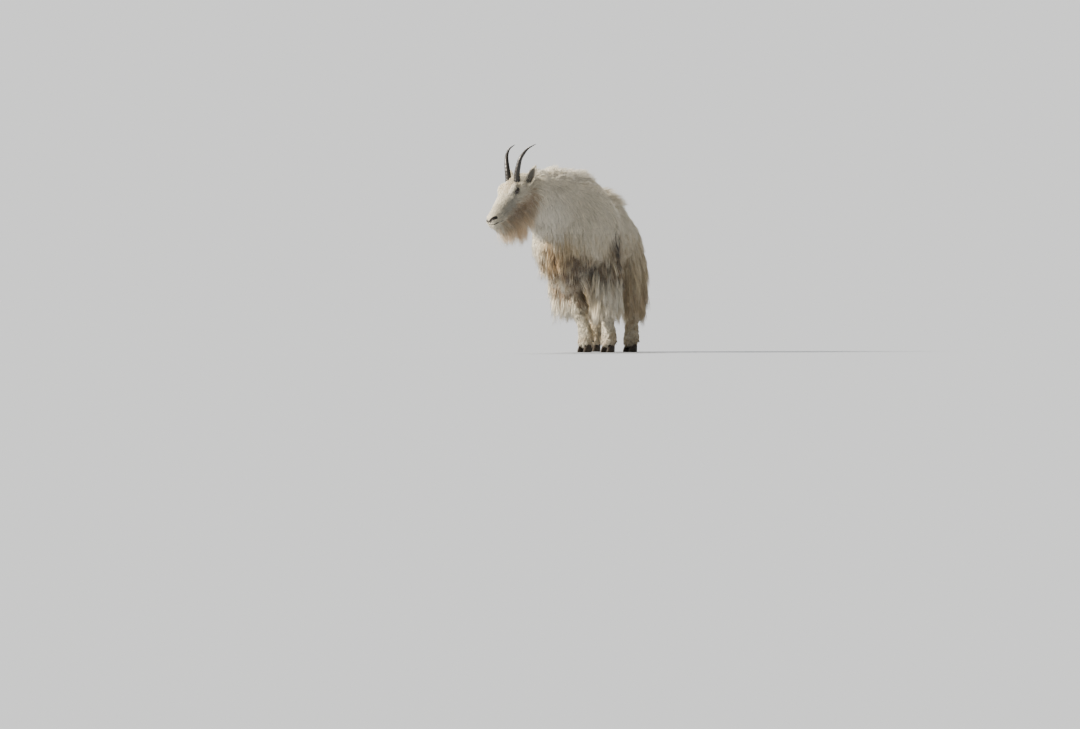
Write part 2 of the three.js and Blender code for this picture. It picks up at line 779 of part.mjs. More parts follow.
for (const [sideName, side] of [['left', 1], ['right', -1]]) {
  addPiece(`horn_${sideName}`, [hornForm(side)], HORN_COLOUR, hard);
  addPiece(`eye_${sideName}`, [eyeForm(side)], EYE_COLOUR, moist);
  const cup = earForm(side, CUP_SHARE, CUP_FORWARD).solid();
  addPiece(`ear_${sideName}`, [earForm(side, 1, 0)], COAT_COLOUR, coat, { cuts: [cup] });
}
const face = [skull, chinForm(), ...coatLocks(skull, COAT_SEEDS.head, HEAD_COAT)];
for (const side of [1, -1]) {
  face.push(browForm(side), lidForm(side, UPPER_LID), lidForm(side, LOWER_LID));
}
const faceCuts = [mouthCut(skull), nostrilForm(1).solid(), nostrilForm(-1).solid()];
addPiece('head', face, COAT_COLOUR, coat, { cuts: faceCuts });
const trunkLocks = coatLocks(trunk, COAT_SEEDS.trunk, TRUNK_COAT);
const bodyCoat = [trunk, neck, ...trunkLocks, ...coatLocks(neck, COAT_SEEDS.neck, NECK_COAT)];
addPiece('torso', bodyCoat, COAT_COLOUR, coat, { within: neckBase(true) });
addPiece('neck', bodyCoat, COAT_COLOUR, coat, { within: neckBase(false) });
const tail = tailForm();
addPiece('tail', [tail, ...coatLocks(tail, COAT_SEEDS.tail, TAIL_COAT)], COAT_COLOUR, coat);
for (const [name, leg] of Object.entries(LEGS)) {
  const fore = name.startsWith('fore');
  addPiece(`${name}_claw_outer`, [clawForm(leg, name.endsWith('left') ? 1 : -1)], HOOF_COLOUR, hard);
  addPiece(`${name}_claw_inner`, [clawForm(leg, name.endsWith('left') ? -1 : 1)], HOOF_COLOUR, hard);
  addPiece(`${name}_lower`, [legForm(leg, fore ? FORE_LOWER : HIND_LOWER, 12)], COAT_COLOUR, coat);
  const upper = legForm(leg, fore ? FORE_UPPER : HIND_UPPER, 14);
  const locks = coatLocks(upper, COAT_SEEDS.leg + leg.foot[0], fore ? FORELEG_COAT : HINDLEG_COAT);
  addPiece(`${name}_upper`, [upper, ...locks], COAT_COLOUR, coat);
}

// Whether two solids' bounding boxes meet.
function boxesMeet(a, b) {
  for (let i = 0; i < 3; i += 1) {
    if (a.min[i] > b.max[i] || b.min[i] > a.max[i]) {
      return false;
    }
  }
  return true;
}

// Builds each piece clear of all the pieces named before it.
const group = new THREE.Group();
const placed = [];
for (const [name, piece] of pieces) {
  let solid = pieceSolid(piece, 0);
  for (const other of placed) {
    if (boxesMeet(solid.boundingBox(), other.boundingBox())) {
      solid = solid.subtract(other);
    }
  }
  for (const cut of piece.cuts) {
    solid = solid.subtract(cut);
  }
  solid = largestBody(solid);
  const material = new THREE.MeshStandardMaterial({ color: piece.colour, ...piece.finish });
  const mesh = new THREE.Mesh(toGeometry(solid), material);
  mesh.name = name;
  group.add(mesh);
  placed.push(pieceSolid(piece, JOINT_GAP));
}

// The origin goes under the middle of the whole animal, on the floor.
const bounds = new THREE.Box3().setFromObject(group);
const centre = bounds.getCenter(new THREE.Vector3());
for (const mesh of group.children) {
  mesh.geometry.translate(-centre.x, -centre.y, -bounds.min.z);
}

export default group;
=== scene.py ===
"""Looks of a life-size mountain goat in its long winter coat, standing with its head lowered.

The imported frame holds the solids. Here one seamless skin stands for every node of flesh, the coat
grows from it as tapered solid hairs in locks, and the horns, hooves and eyes are pieces of their
own. Units are metres: the body faces -Y, its own left is +X, and the floor is Z = 0.
"""
import logging
import math
from dataclasses import dataclass, field
from enum import Enum

import bpy
import numpy as np
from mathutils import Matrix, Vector
from mathutils.kdtree import KDTree


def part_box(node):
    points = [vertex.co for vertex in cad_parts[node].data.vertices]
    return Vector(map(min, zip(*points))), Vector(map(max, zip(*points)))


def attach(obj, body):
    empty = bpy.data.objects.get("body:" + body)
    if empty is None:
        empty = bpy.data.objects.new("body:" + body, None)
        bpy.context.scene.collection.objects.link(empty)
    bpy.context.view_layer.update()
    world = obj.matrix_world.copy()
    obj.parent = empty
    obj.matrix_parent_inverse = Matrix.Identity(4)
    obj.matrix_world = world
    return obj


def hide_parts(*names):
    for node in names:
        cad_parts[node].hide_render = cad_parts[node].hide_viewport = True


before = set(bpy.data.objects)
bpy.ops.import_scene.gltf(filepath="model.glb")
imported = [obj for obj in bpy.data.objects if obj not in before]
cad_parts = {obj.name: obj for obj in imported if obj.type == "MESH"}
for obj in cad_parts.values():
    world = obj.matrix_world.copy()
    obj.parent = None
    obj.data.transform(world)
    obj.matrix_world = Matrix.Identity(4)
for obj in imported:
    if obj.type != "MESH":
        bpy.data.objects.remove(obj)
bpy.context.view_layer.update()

LOG = logging.getLogger("mountain_goat")

Array = np.ndarray
SIDES = {"left": 1.0, "right": -1.0}
LEG_NAMES = ("foreleg_left", "foreleg_right", "hindleg_left", "hindleg_right")
DOWN = np.array((0.0, 0.0, -1.0))

# The head's slope and turn, and the eye's place along, beside and out of the face.
HEAD_PITCH = math.radians(50.0)
HEAD_TURN = math.radians(14.0)
HEAD_LENGTH = 0.360
EYE_PLACE = (0.129, 0.059, 0.003)
EYE_RADIUS = 0.014
EAR_LENGTH = 0.116
EAR_BEND = 0.010
EAR_CUP = 0.62
EAR_HALVES = (
    (-0.16, 0.012), (0.05, 0.018), (0.25, 0.0225), (0.48, 0.0225),
    (0.72, 0.0155), (0.90, 0.0075), (0.985, 0.0022),
)
CLAW_HEIGHT = 0.044
CLAW_LENGTH = 0.066
CLAW_WIDTH = 0.033


def unit(vectors: Array) -> Array:
    """Scale each vector to a length of one."""
    return vectors / np.maximum(np.linalg.norm(vectors, axis=-1, keepdims=True), 1e-12)


def signed_power(values: Array, power: Array) -> Array:
    """Raise the size of each value to a power and keep its sign."""
    return np.sign(values) * np.abs(values) ** power


def smooth_step(low: float, high: float, values: Array) -> Array:
    """Rise smoothly from 0 at low to 1 at high.

    Args:
        low: Value at which the step starts.
        high: Value at which the step ends.
        values: Where to take the step.

    Returns:
        The height of the step at each value.
    """
    t = np.clip((values - low) / (high - low), 0.0, 1.0)
    return t * t * (3.0 - 2.0 * t)


def spline(values: Array, place: Array) -> Array:
    """Follow a smooth curve through rows of values.

    Args:
        values: One row for each knot.
        place: Where to read the curve, 0 at the first knot and 1 more at each next one.

    Returns:
        The interpolated rows.
    """
    last = len(values) - 1
    row = np.clip(np.floor(place).astype(int), 0, last - 1)
    t = place - row
    if values.ndim > 1:
        t = t[..., None]
    before = values[np.maximum(row - 1, 0)]
    start = values[row]
    end = values[row + 1]
    after = values[np.minimum(row + 2, last)]
    bend = 2.0 * before - 5.0 * start + 4.0 * end - after
    twist = 3.0 * start - before - 3.0 * end + after
    return 0.5 * (2.0 * start + (end - before) * t + bend * t**2 + twist * t**3)


def waves(points: Array, scale: float, seed: int) -> Array:
    """Give soft random hills and hollows over space, between about -1 and 1.

    Args:
        points: Places in space.
        scale: Size of one hill in metres.
        seed: Number that fixes the pattern.

    Returns:
        The height at each place.
    """
    draw = np.random.default_rng(seed)
    total = np.zeros(len(points))
    for _ in range(14):
        heading = unit(draw.normal(size=3)) * draw.uniform(0.6, 1.7) * math.tau / (scale * 2.0)
        total += np.sin(points @ heading + draw.uniform(0.0, math.tau))
    return total / 5.0


@dataclass(frozen=True)
class HeadAxes:
    """The head's own axes, from the poll at the back of the skull."""

    poll: tuple[float, float, float]
    pitch: float = HEAD_PITCH
    turn: float = HEAD_TURN

    @property
    def level(self) -> Array:
        """The way the face looks, laid level."""
        return np.array((-math.sin(self.turn), -math.cos(self.turn), 0.0))

    @property
    def left(self) -> Array:
        """The head's own left."""
        return np.array((math.cos(self.turn), -math.sin(self.turn), 0.0))

    @property
    def along(self) -> Array:
        """Down the face, from the poll to the nose."""
        return self.level * math.cos(self.pitch) + DOWN * math.sin(self.pitch)

    @property
    def up(self) -> Array:
        """Out of the forehead."""
        return self.level * math.sin(self.pitch) - DOWN * math.cos(self.pitch)

    def at(self, along: float, left: float, up: float) -> Array:
        """The point at these distances along the face, to the left and out of the forehead."""
        return np.array(self.poll) + self.along * along + self.left * left + self.up * up

    def turned(self, vector: tuple[float, float, float]) -> Array:
        """A direction given in head axes, turned into the model's axes."""
        return self.along * vector[0] + self.left * vector[1] + self.up * vector[2]

    def inside(self, points: Array) -> Array:
        """The places of points in head axes: along the face, left, and out of the forehead."""
        away = points - np.array(self.poll)
        return np.stack((away @ self.along, away @ self.left, away @ self.up), axis=-1)


# The poll in the animal's own axes, whose zero lies between the feet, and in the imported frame.
POLL = (-0.043, -0.727, 0.987)
DRAWN_HEAD = HeadAxes(POLL)
EYE_CENTRE = np.array((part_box("eye_left")[0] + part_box("eye_left")[1]) / 2)
SHIFT = EYE_CENTRE - DRAWN_HEAD.at(*EYE_PLACE)
SHIFT[2] = 0.0
HEAD = HeadAxes(tuple(np.array(POLL) + SHIFT))


@dataclass
class Loft:
    """A body through slices, each with a middle, a half width, a height above and a depth below."""

    name: str
    middles: Array
    halves: Array
    ups: Array
    lows: Array
    top_powers: Array
    low_powers: Array
    depths: Array
    bulge: float = 0.35

    @property
    def last(self) -> int:
        """The number of the last slice."""
        return len(self.middles) - 1

    def outline(self, place: Array, angle: Array, inset: float = 0.0) -> Array:
        """Points on the surface.

        Args:
            place: Slice number of each point, with fractions between slices.
            angle: Angle round the slice, 0 at its side and a quarter turn at its top.
            inset: Share of the coat's depth to leave off, 0 for the coat's own surface.

        Returns:
            One point for each place and angle.
        """
        cosine, sine = np.cos(angle), np.sin(angle)
        half = spline(self.halves, place)
        up = spline(self.ups, place)
        above = np.linalg.norm(up, axis=-1)
        power = np.where(sine > 0, spline(self.top_powers, place), spline(self.low_powers, place))
        depth = spline(self.depths, place) * inset
        width = np.linalg.norm(half, axis=-1) - depth
        height = np.where(sine > 0, above, spline(self.lows, place)) - depth
        across = unit(half) * (width * signed_power(cosine, 2.0 / power))[..., None]
        upright = unit(up) * (height * signed_power(sine, 2.0 / power))[..., None]
        return spline(self.middles, place) + across + upright

    def surface(self, rows: int, columns: int) -> tuple[Array, list[tuple[int, ...]]]:
        """The closed surface of the skin below the coat.

        Args:
            rows: Rings between two slices.
            columns: Points round each ring.

        Returns:
            The points, and the faces as rows of point numbers.
        """
        steps = self.last * rows + 1
        place = np.repeat(np.linspace(0.0, self.last, steps), columns)
        angle = np.tile(np.arange(columns) * math.tau / columns, steps)
        points = self.outline(place, angle, inset=1.0)
        poles = []
        for end, inner in ((0, 1), (self.last, self.last - 1)):
            out = unit(self.middles[end] - self.middles[inner])
            size = min(np.linalg.norm(self.halves[end]), np.linalg.norm(self.ups[end])) - self.depths[end]
            poles.append(self.middles[end] + out * size * self.bulge)
        faces: list[tuple[int, ...]] = []
        for row in range(steps - 1):
            for column in range(columns):
                a = row * columns + column
                b = row * columns + (column + 1) % columns
                faces.append((a, b, b + columns, a + columns))
        first_pole = steps * columns
        start = (steps - 1) * columns
        for column in range(columns):
            following = (column + 1) % columns
            faces.append((first_pole, following, column))
            faces.append((first_pole + 1, start + column, start + following))
        return np.concatenate((points, np.array(poles))), faces

    def locate(self, points: Array) -> tuple[Array, Array, Array]:
        """Where points lie on the body.

        Args:
            points: Places in space.

        Returns:
            The slice number, the angle round the slice, and the reach: 1 on the surface.
        """
        heading = unit(np.diff(self.middles, axis=0))
        heading = np.concatenate((heading, heading[-1:]))
        planes = unit(np.cross(self.halves, self.ups))
        planes *= np.sign(np.sum(planes * heading, axis=1, keepdims=True))
        ahead = np.einsum("pni,ni->pn", points[:, None, :] - self.middles[None], planes)
        row = np.clip(np.sum(ahead >= 0, axis=1) - 1, 0, self.last - 1)
        pick = np.arange(len(points))
        near, far = ahead[pick, row], ahead[pick, row + 1]
        share = near / np.where(np.abs(near - far) < 1e-9, 1e-9, near - far)
        place = np.clip(row + share, 0.0, self.last)
        beyond = np.abs(row + share - place)
        middle, half, up = (spline(v, place) for v in (self.middles, self.halves, self.ups))
        width = np.linalg.norm(half, axis=1)
        above = np.linalg.norm(up, axis=1)
        aside = np.sum((points - middle) * unit(half), axis=1) / width
        raised = np.sum((points - middle) * unit(up), axis=1)
        raised = np.where(raised > 0, raised / above, raised / spline(self.lows, place))
        power = np.where(raised > 0, spline(self.top_powers, place), spline(self.low_powers, place))
        reach = (np.abs(aside) ** power + np.abs(raised) ** power) ** (1.0 / power)
        angle = np.arctan2(signed_power(raised, power / 2.0), signed_power(aside, power / 2.0))
        return place, angle, reach + beyond


def make_loft(name: str, rows: list[dict], bulge: float = 0.35) -> Loft:
    """Gather rows of slices into a loft.

    Args:
        name: Name of the body.
        rows: Each with middle, half and up, and where needed low, powers and depth.
        bulge: How far each end is domed, as a share of its size.

    Returns:
        The loft.
    """
    ups = np.array([row["up"] for row in rows], float)
    lows = np.array([row.get("low", np.linalg.norm(row["up"])) for row in rows], float)
    powers = np.array([row.get("powers", (2.0, 2.0)) for row in rows], float)
    return Loft(
        name=name,
        middles=np.array([row["middle"] for row in rows], float),
        halves=np.array([row["half"] for row in rows], float),
        ups=ups,
        lows=lows,
        top_powers=powers[:, 0],
        low_powers=powers[:, 1],
        depths=np.array([row.get("depth", 0.0) for row in rows], float),
        bulge=bulge,
    )


@dataclass
class Body:
    """The animal's build: the sizes of its trunk, neck, head, ears, tail and legs."""

    hump_top: float = 1.000
    rump_top: float = 0.884
    brisket: float = 0.478
    chest_half: float = 0.228
    rump_half: float = 0.204
    coat_depth: float = 0.026
    feet: dict[str, tuple[float, float]] = field(default_factory=lambda: {
        "foreleg_right": (0.010, -0.172),
        "foreleg_left": (0.160, -0.164),
        "hindleg_right": (-0.138, 0.142),
        "hindleg_left": (0.104, 0.150),
    })
    leg_tops: dict[str, tuple[float, float]] = field(default_factory=lambda: {
        "foreleg_right": (-0.122, -0.160),
        "foreleg_left": (0.146, -0.166),
        "hindleg_right": (-0.124, 0.148),
        "hindleg_left": (0.086, 0.152),
    })

    def trunk(self) -> Loft:
        """The trunk from the breast to the rump, as level slices."""
        hump, rump, low = self.hump_top, self.rump_top, self.brisket
        chest, thigh = self.chest_half, self.rump_half
        table = (
            (-0.492, 0.000, 0.090, 0.770, 0.560, 1.9),
            (-0.455, 0.000, 0.158, 0.880, 0.500, 1.9),
            (-0.385, 0.000, 0.200, 0.960, low - 0.018, 1.9),
            (-0.295, 0.000, chest, hump, low - 0.030, 1.85),
            (-0.215, 0.000, chest + 0.004, hump, low - 0.026, 1.8),
            (-0.130, 0.000, chest - 0.002, hump - 0.034, low - 0.012, 1.8),
            (-0.040, -0.006, thigh, rump + 0.026, low, 1.75),
            (0.055, -0.014, thigh - 0.012, rump, low + 0.010, 1.7),
            (0.140, -0.022, thigh - 0.016, rump - 0.034, low + 0.024, 1.6),
            (0.210, -0.028, thigh - 0.030, rump - 0.084, low + 0.046, 1.6),
            (0.265, -0.030, thigh - 0.066, rump - 0.150, low + 0.074, 1.7),
            (0.300, -0.032, thigh - 0.124, rump - 0.220, low + 0.106, 1.8),
        )
        rows = []
        for y, x, half, top, bottom, power in table:
            middle = bottom + (top - bottom) * 0.4
            rows.append({
                "middle": SHIFT + (x, y, middle), "half": (half, 0, 0), "up": (0, 0, top - middle),
                "low": middle - bottom, "powers": (power, 2.3), "depth": self.coat_depth,
            })
        return make_loft("trunk", rows)

    def neck(self) -> Loft:
        """The neck, from inside the shoulders to the back of the skull."""
        table = (
            (0.000, -0.300, 0.812, 0.178, 0.178, 0.190),
            (-0.008, -0.420, 0.828, 0.164, 0.178, 0.196),
            (-0.020, -0.530, 0.852, 0.146, 0.158, 0.192),
            (-0.031, -0.620, 0.884, 0.124, 0.124, 0.172),
            (-0.037, -0.690, 0.922, 0.098, 0.080, 0.140),
        )
        rows = [{
            "middle": SHIFT + (x, y, z), "half": (half, 0, 0), "up": (0, top * 0.18, top * 0.98),
            "low": low, "depth": self.coat_depth * 0.9,
        } for x, y, z, half, top, low in table]
        return make_loft("neck", rows)

    def skull(self) -> Loft:
        """The head from the back of the skull to the lips."""
        nose = HEAD_LENGTH
        table = (
            (-0.010, -0.020, -0.030, -0.095, 0.050, 0.008),
            (0.020, 0.012, -0.005, -0.122, 0.066, 0.006),
            (0.062, 0.032, 0.045, -0.132, 0.073, 0.005),
            (0.105, 0.040, 0.098, -0.130, 0.075, 0.004),
            (0.142, 0.041, 0.145, -0.120, 0.069, 0.003),
            (0.182, 0.036, 0.190, -0.108, 0.055, 0.002),
            (0.226, 0.031, 0.236, -0.094, 0.043, 0.0015),
            (0.270, 0.028, 0.282, -0.080, 0.036, 0.001),
            (nose - 0.048, 0.027, nose - 0.036, -0.066, 0.035, 0.001),
            (nose - 0.022, 0.024, nose - 0.008, -0.054, 0.034, 0.001),
            (nose - 0.008, 0.012, nose + 0.004, -0.044, 0.027, 0.001),
        )
        rows = []
        for top_along, top_up, low_along, low_up, half, depth in table:
            top = HEAD.at(top_along, 0, top_up)
            low = HEAD.at(low_along, 0, low_up)
            middle = low + (top - low) * 0.6
            rows.append({
                "middle": middle, "half": HEAD.left * half, "up": top - middle,
                "low": float(np.linalg.norm(middle - low)), "powers": (2.2, 1.9), "depth": depth,
            })
        return make_loft("skull", rows, bulge=0.3)

    def chin(self) -> Loft:
        """The lower lip and chin."""
        nose = HEAD_LENGTH
        table = (
            (nose - 0.070, -0.058, 0.024, 0.020), (nose - 0.040, -0.050, 0.026, 0.021),
            (nose - 0.014, -0.042, 0.024, 0.018), (nose, -0.034, 0.017, 0.012),
        )
        rows = [{
            "middle": HEAD.at(along, 0, up), "half": HEAD.left * half, "up": HEAD.up * height,
        } for along, up, half, height in table]
        return make_loft("chin", rows, bulge=0.4)

    def brow(self, side: float) -> Loft:
        """The ridge of bone over an eye."""
        table = (
            (0.096, 0.044, 0.022, 0.010), (0.118, 0.052, 0.022, 0.015),
            (0.142, 0.050, 0.020, 0.014), (0.166, 0.041, 0.018, 0.009),
        )
        rows = [{
            "middle": HEAD.at(along, side * left, up), "half": HEAD.left * radius,
            "up": HEAD.up * radius * 0.9,
        } for along, left, up, radius in table]
        return make_loft("brow", rows, bulge=0.5)

    def ear(self, side: float) -> Loft:
        """An ear as a pointed leaf, for finding places on it."""
        base, along, front, across = ear_axes(side)
        table = ((-0.14, 0.013), (0.16, 0.020), (0.45, 0.023), (0.74, 0.015), (0.95, 0.005))
        rows = [{
            "middle": base + along * (t * EAR_LENGTH), "half": across * half,
            "up": front * (half * 0.5 + 0.003),
        } for t, half in table]
        return make_loft("ear", rows, bulge=0.5)

    def tail(self) -> Loft:
        """The short tail, hanging at the rump."""
        table = (
            (0.268, 0.726, 0.026, 0.030), (0.318, 0.690, 0.028, 0.028), (0.340, 0.640, 0.025, 0.024),
            (0.345, 0.596, 0.018, 0.018), (0.343, 0.566, 0.010, 0.010),
        )
        rows = [{
            "middle": SHIFT + (-0.031, y, z), "half": (half, 0, 0), "up": (0, deep, 0), "depth": 0.004,
        } for y, z, half, deep in table]
        return make_loft("tail", rows, bulge=0.4)

    def leg(self, name: str) -> Loft:
        """A whole leg under its hair, from inside the body to the pastern."""
        fore = (
            (0.640, 1.02, -0.050, 0.062, 0.092, 0.024),
            (0.560, 1.02, -0.026, 0.088, 0.108, 0.028),
            (0.470, 1.04, -0.008, 0.096, 0.108, 0.030),
            (0.390, 1.00, 0.000, 0.094, 0.100, 0.034),
            (0.320, 0.84, 0.004, 0.078, 0.084, 0.030),
            (0.250, 0.50, 0.003, 0.054, 0.056, 0.014),
            (0.205, 0.26, 0.002, 0.044, 0.046, 0.009),
            (0.150, 0.08, 0.006, 0.042, 0.044, 0.009),
            (0.100, 0.00, 0.012, 0.045, 0.052, 0.009),
            (0.062, 0.00, 0.008, 0.047, 0.056, 0.010),
            (0.040, 0.00, 0.002, 0.042, 0.050, 0.010),
        )
        hind = (
            (0.700, 0.90, 0.000, 0.046, 0.084, 0.024),
            (0.630, 1.00, 0.006, 0.066, 0.110, 0.026),
            (0.540, 1.00, 0.014, 0.086, 0.122, 0.028),
            (0.440, 0.90, 0.026, 0.086, 0.112, 0.030),
            (0.350, 0.68, 0.038, 0.070, 0.086, 0.026),
            (0.272, 0.48, 0.044, 0.050, 0.058, 0.014),
            (0.220, 0.30, 0.034, 0.042, 0.046, 0.009),
            (0.150, 0.10, 0.018, 0.041, 0.044, 0.009),
            (0.100, 0.00, 0.014, 0.045, 0.052, 0.009),
            (0.062, 0.00, 0.008, 0.047, 0.056, 0.010),
            (0.040, 0.00, 0.002, 0.042, 0.050, 0.010),
        )
        foot, top = np.array(self.feet[name]), np.array(self.leg_tops[name])
        rows = []
        for z, share, offset, half, deep, depth in fore if name.startswith("fore") else hind:
            x, y = foot + (top - foot) * share
            rows.append({
                "middle": SHIFT + (x, y + offset, z), "half": (half, 0, 0),
                "up": (0, deep, 0), "depth": depth,
            })
        return make_loft(name, rows, bulge=0.15)


def ear_axes(side: float) -> tuple[Array, Array, Array, Array]:
    """The base of an ear, and its directions along, to the front and across."""
    base = HEAD.at(0.054, side * 0.066, -0.030)
    tip = HEAD.at(-0.026, side * 0.118, 0.022)
    along = unit(tip - base)
    front = HEAD.level * 0.75 + HEAD.left * side * 0.65
    front = unit(front - along * (front @ along))
    return base, along, front, np.cross(along, front)


def new_object(name: str, mesh: bpy.types.Mesh) -> bpy.types.Object:
    """Put a mesh in the scene under a name."""
    made = bpy.data.objects.new(name, mesh)
    bpy.context.scene.collection.objects.link(made)
    return made


def mesh_of(name: str, points: Array, faces: list[tuple[int, ...]]) -> bpy.types.Mesh:
    """A smooth mesh from points and faces, turned so that its faces point outwards.

    Args:
        name: Name of the mesh.
        points: One row for each point.
        faces: Point numbers of each face.

    Returns:
        The mesh.
    """
    corners = np.array([points[list(face[:3])] for face in faces])
    fans = np.einsum("ij,ij->i", corners[:, 0], np.cross(corners[:, 1], corners[:, 2]))
    extra = np.array([points[[face[0], face[2], face[3]]] for face in faces if len(face) == 4])
    volume = fans.sum()
    if len(extra):
        volume += np.einsum("ij,ij->i", extra[:, 0], np.cross(extra[:, 1], extra[:, 2])).sum()
    if volume < 0:
        faces = [tuple(reversed(face)) for face in faces]
    mesh = bpy.data.meshes.new(name)
    mesh.from_pydata(points.tolist(), [], faces)
    mesh.polygons.foreach_set("use_smooth", np.ones(len(mesh.polygons), bool))
    mesh.update()
    return mesh


def points_of(mesh: bpy.types.Mesh) -> Array:
    """The places of a mesh's points."""
    flat = np.zeros(len(mesh.vertices) * 3, np.float32)
    mesh.vertices.foreach_get("co", flat)
    return flat.reshape(-1, 3).astype(float)


def normals_of(mesh: bpy.types.Mesh) -> Array:
    """The direction out of a mesh at each point."""
    flat = np.zeros(len(mesh.vertices) * 3, np.float32)
    mesh.vertices.foreach_get("normal", flat)
    return flat.reshape(-1, 3).astype(float)


def place_points(mesh: bpy.types.Mesh, points: Array) -> None:
    """Move a mesh's points."""
    mesh.vertices.foreach_set("co", points.astype(np.float32).ravel())
    mesh.update()


def apply_modifiers(piece: bpy.types.Object) -> None:
    """Turn a piece with live modifiers into a plain mesh."""
    graph = bpy.context.evaluated_depsgraph_get()
    mesh = bpy.data.meshes.new_from_object(piece.evaluated_get(graph), depsgraph=graph)
    piece.modifiers.clear()
    piece.data = mesh


def joined_voxels(name: str, lofts: list[Loft], voxel: float, columns: int) -> bpy.types.Object:
    """Join lofts into one closed surface by way of voxels.

    Args:
        name: Name of the new object.
        lofts: Bodies that overlap.
        voxel: Size of a voxel.
        columns: Points round each slice before joining.

    Returns:
        The joined object.
    """
    points: list[Array] = []
    faces: list[tuple[int, ...]] = []
    count = 0
    for loft in lofts:
        own_points, own_faces = loft.surface(rows=6, columns=columns)
        part = mesh_of("part", own_points, own_faces)
        faces += [tuple(count + i for i in face.vertices) for face in part.polygons]
        points.append(own_points)
        count += len(own_points)
        bpy.data.meshes.remove(part)
    mesh = bpy.data.meshes.new(name)
    mesh.from_pydata(np.concatenate(points).tolist(), [], faces)
    made = new_object(name, mesh)
    remesh = made.modifiers.new("voxels", "REMESH")
    remesh.mode = "VOXEL"
    remesh.voxel_size = voxel
    remesh.use_smooth_shade = True
    apply_modifiers(made)
    return made


def relax(mesh: bpy.types.Mesh, weights: Array, rounds: int) -> None:
    """Even out a surface.

    Args:
        mesh: Mesh to even out.
        weights: How far each point moves towards its neighbours, 0 to 1.
        rounds: How often.
    """
    edges = np.zeros(len(mesh.edges) * 2, np.int32)
    mesh.edges.foreach_get("vertices", edges)
    edges = edges.reshape(-1, 2)
    points = points_of(mesh)
    count = np.bincount(edges.ravel(), minlength=len(points)).astype(float)[:, None]
    for _ in range(rounds):
        total = np.zeros_like(points)
        for axis in range(3):
            total[:, axis] = np.bincount(edges[:, 0], points[edges[:, 1], axis], len(points))
            total[:, axis] += np.bincount(edges[:, 1], points[edges[:, 0], axis], len(points))
        points += (total / np.maximum(count, 1) - points) * weights[:, None]
    place_points(mesh, points)


class Tone(Enum):
    """Colours of the coat and skin, as linear red, green and blue."""

    CREAM = (0.80, 0.735, 0.59)
    WHITE = (0.86, 0.81, 0.69)
    PEACH = (0.84, 0.64, 0.42)
    STRAW = (0.62, 0.49, 0.29)
    TAN = (0.44, 0.29, 0.145)
    BROWN = (0.20, 0.125, 0.065)
    # Near black: real dirt and dark knee spots, and also painted shade in folds and gaps of the coat.
    SOIL_AND_SHADE = (0.055, 0.042, 0.030)
    GREY = (0.42, 0.40, 0.34)
    SLATE = (0.13, 0.12, 0.105)
    BARE = (0.018, 0.014, 0.012)


@dataclass(frozen=True)
class Patch:
    """A marking of the coat: a soft ellipsoid of colour, broken up by waves; some markings are painted shade or
    painted light.
    """

    tone: Tone
    middle: tuple[float, float, float]
    radii: tuple[float, float, float]
    strength: float
    broken: float = 0.35
    grain: float = 0.03
    on_head: bool = False

    def cover(self, points: Array, seed: int) -> Array:
        """How strongly the marking colours each point.

        Args:
            points: Places in space.
            seed: Number that fixes the waves.

        Returns:
            A share from 0 to 1 for each point.
        """
        if self.on_head:
            away = HEAD.inside(points)
            away[:, 1] = np.abs(away[:, 1])
            away = (away - np.array(self.middle)) / np.array(self.radii)
        else:
            away = (points - SHIFT - np.array(self.middle)) / np.array(self.radii)
        distance = np.linalg.norm(away, axis=1) + waves(points, self.grain, seed) * self.broken
        return self.strength * (1.0 - smooth_step(0.55, 1.25, distance))


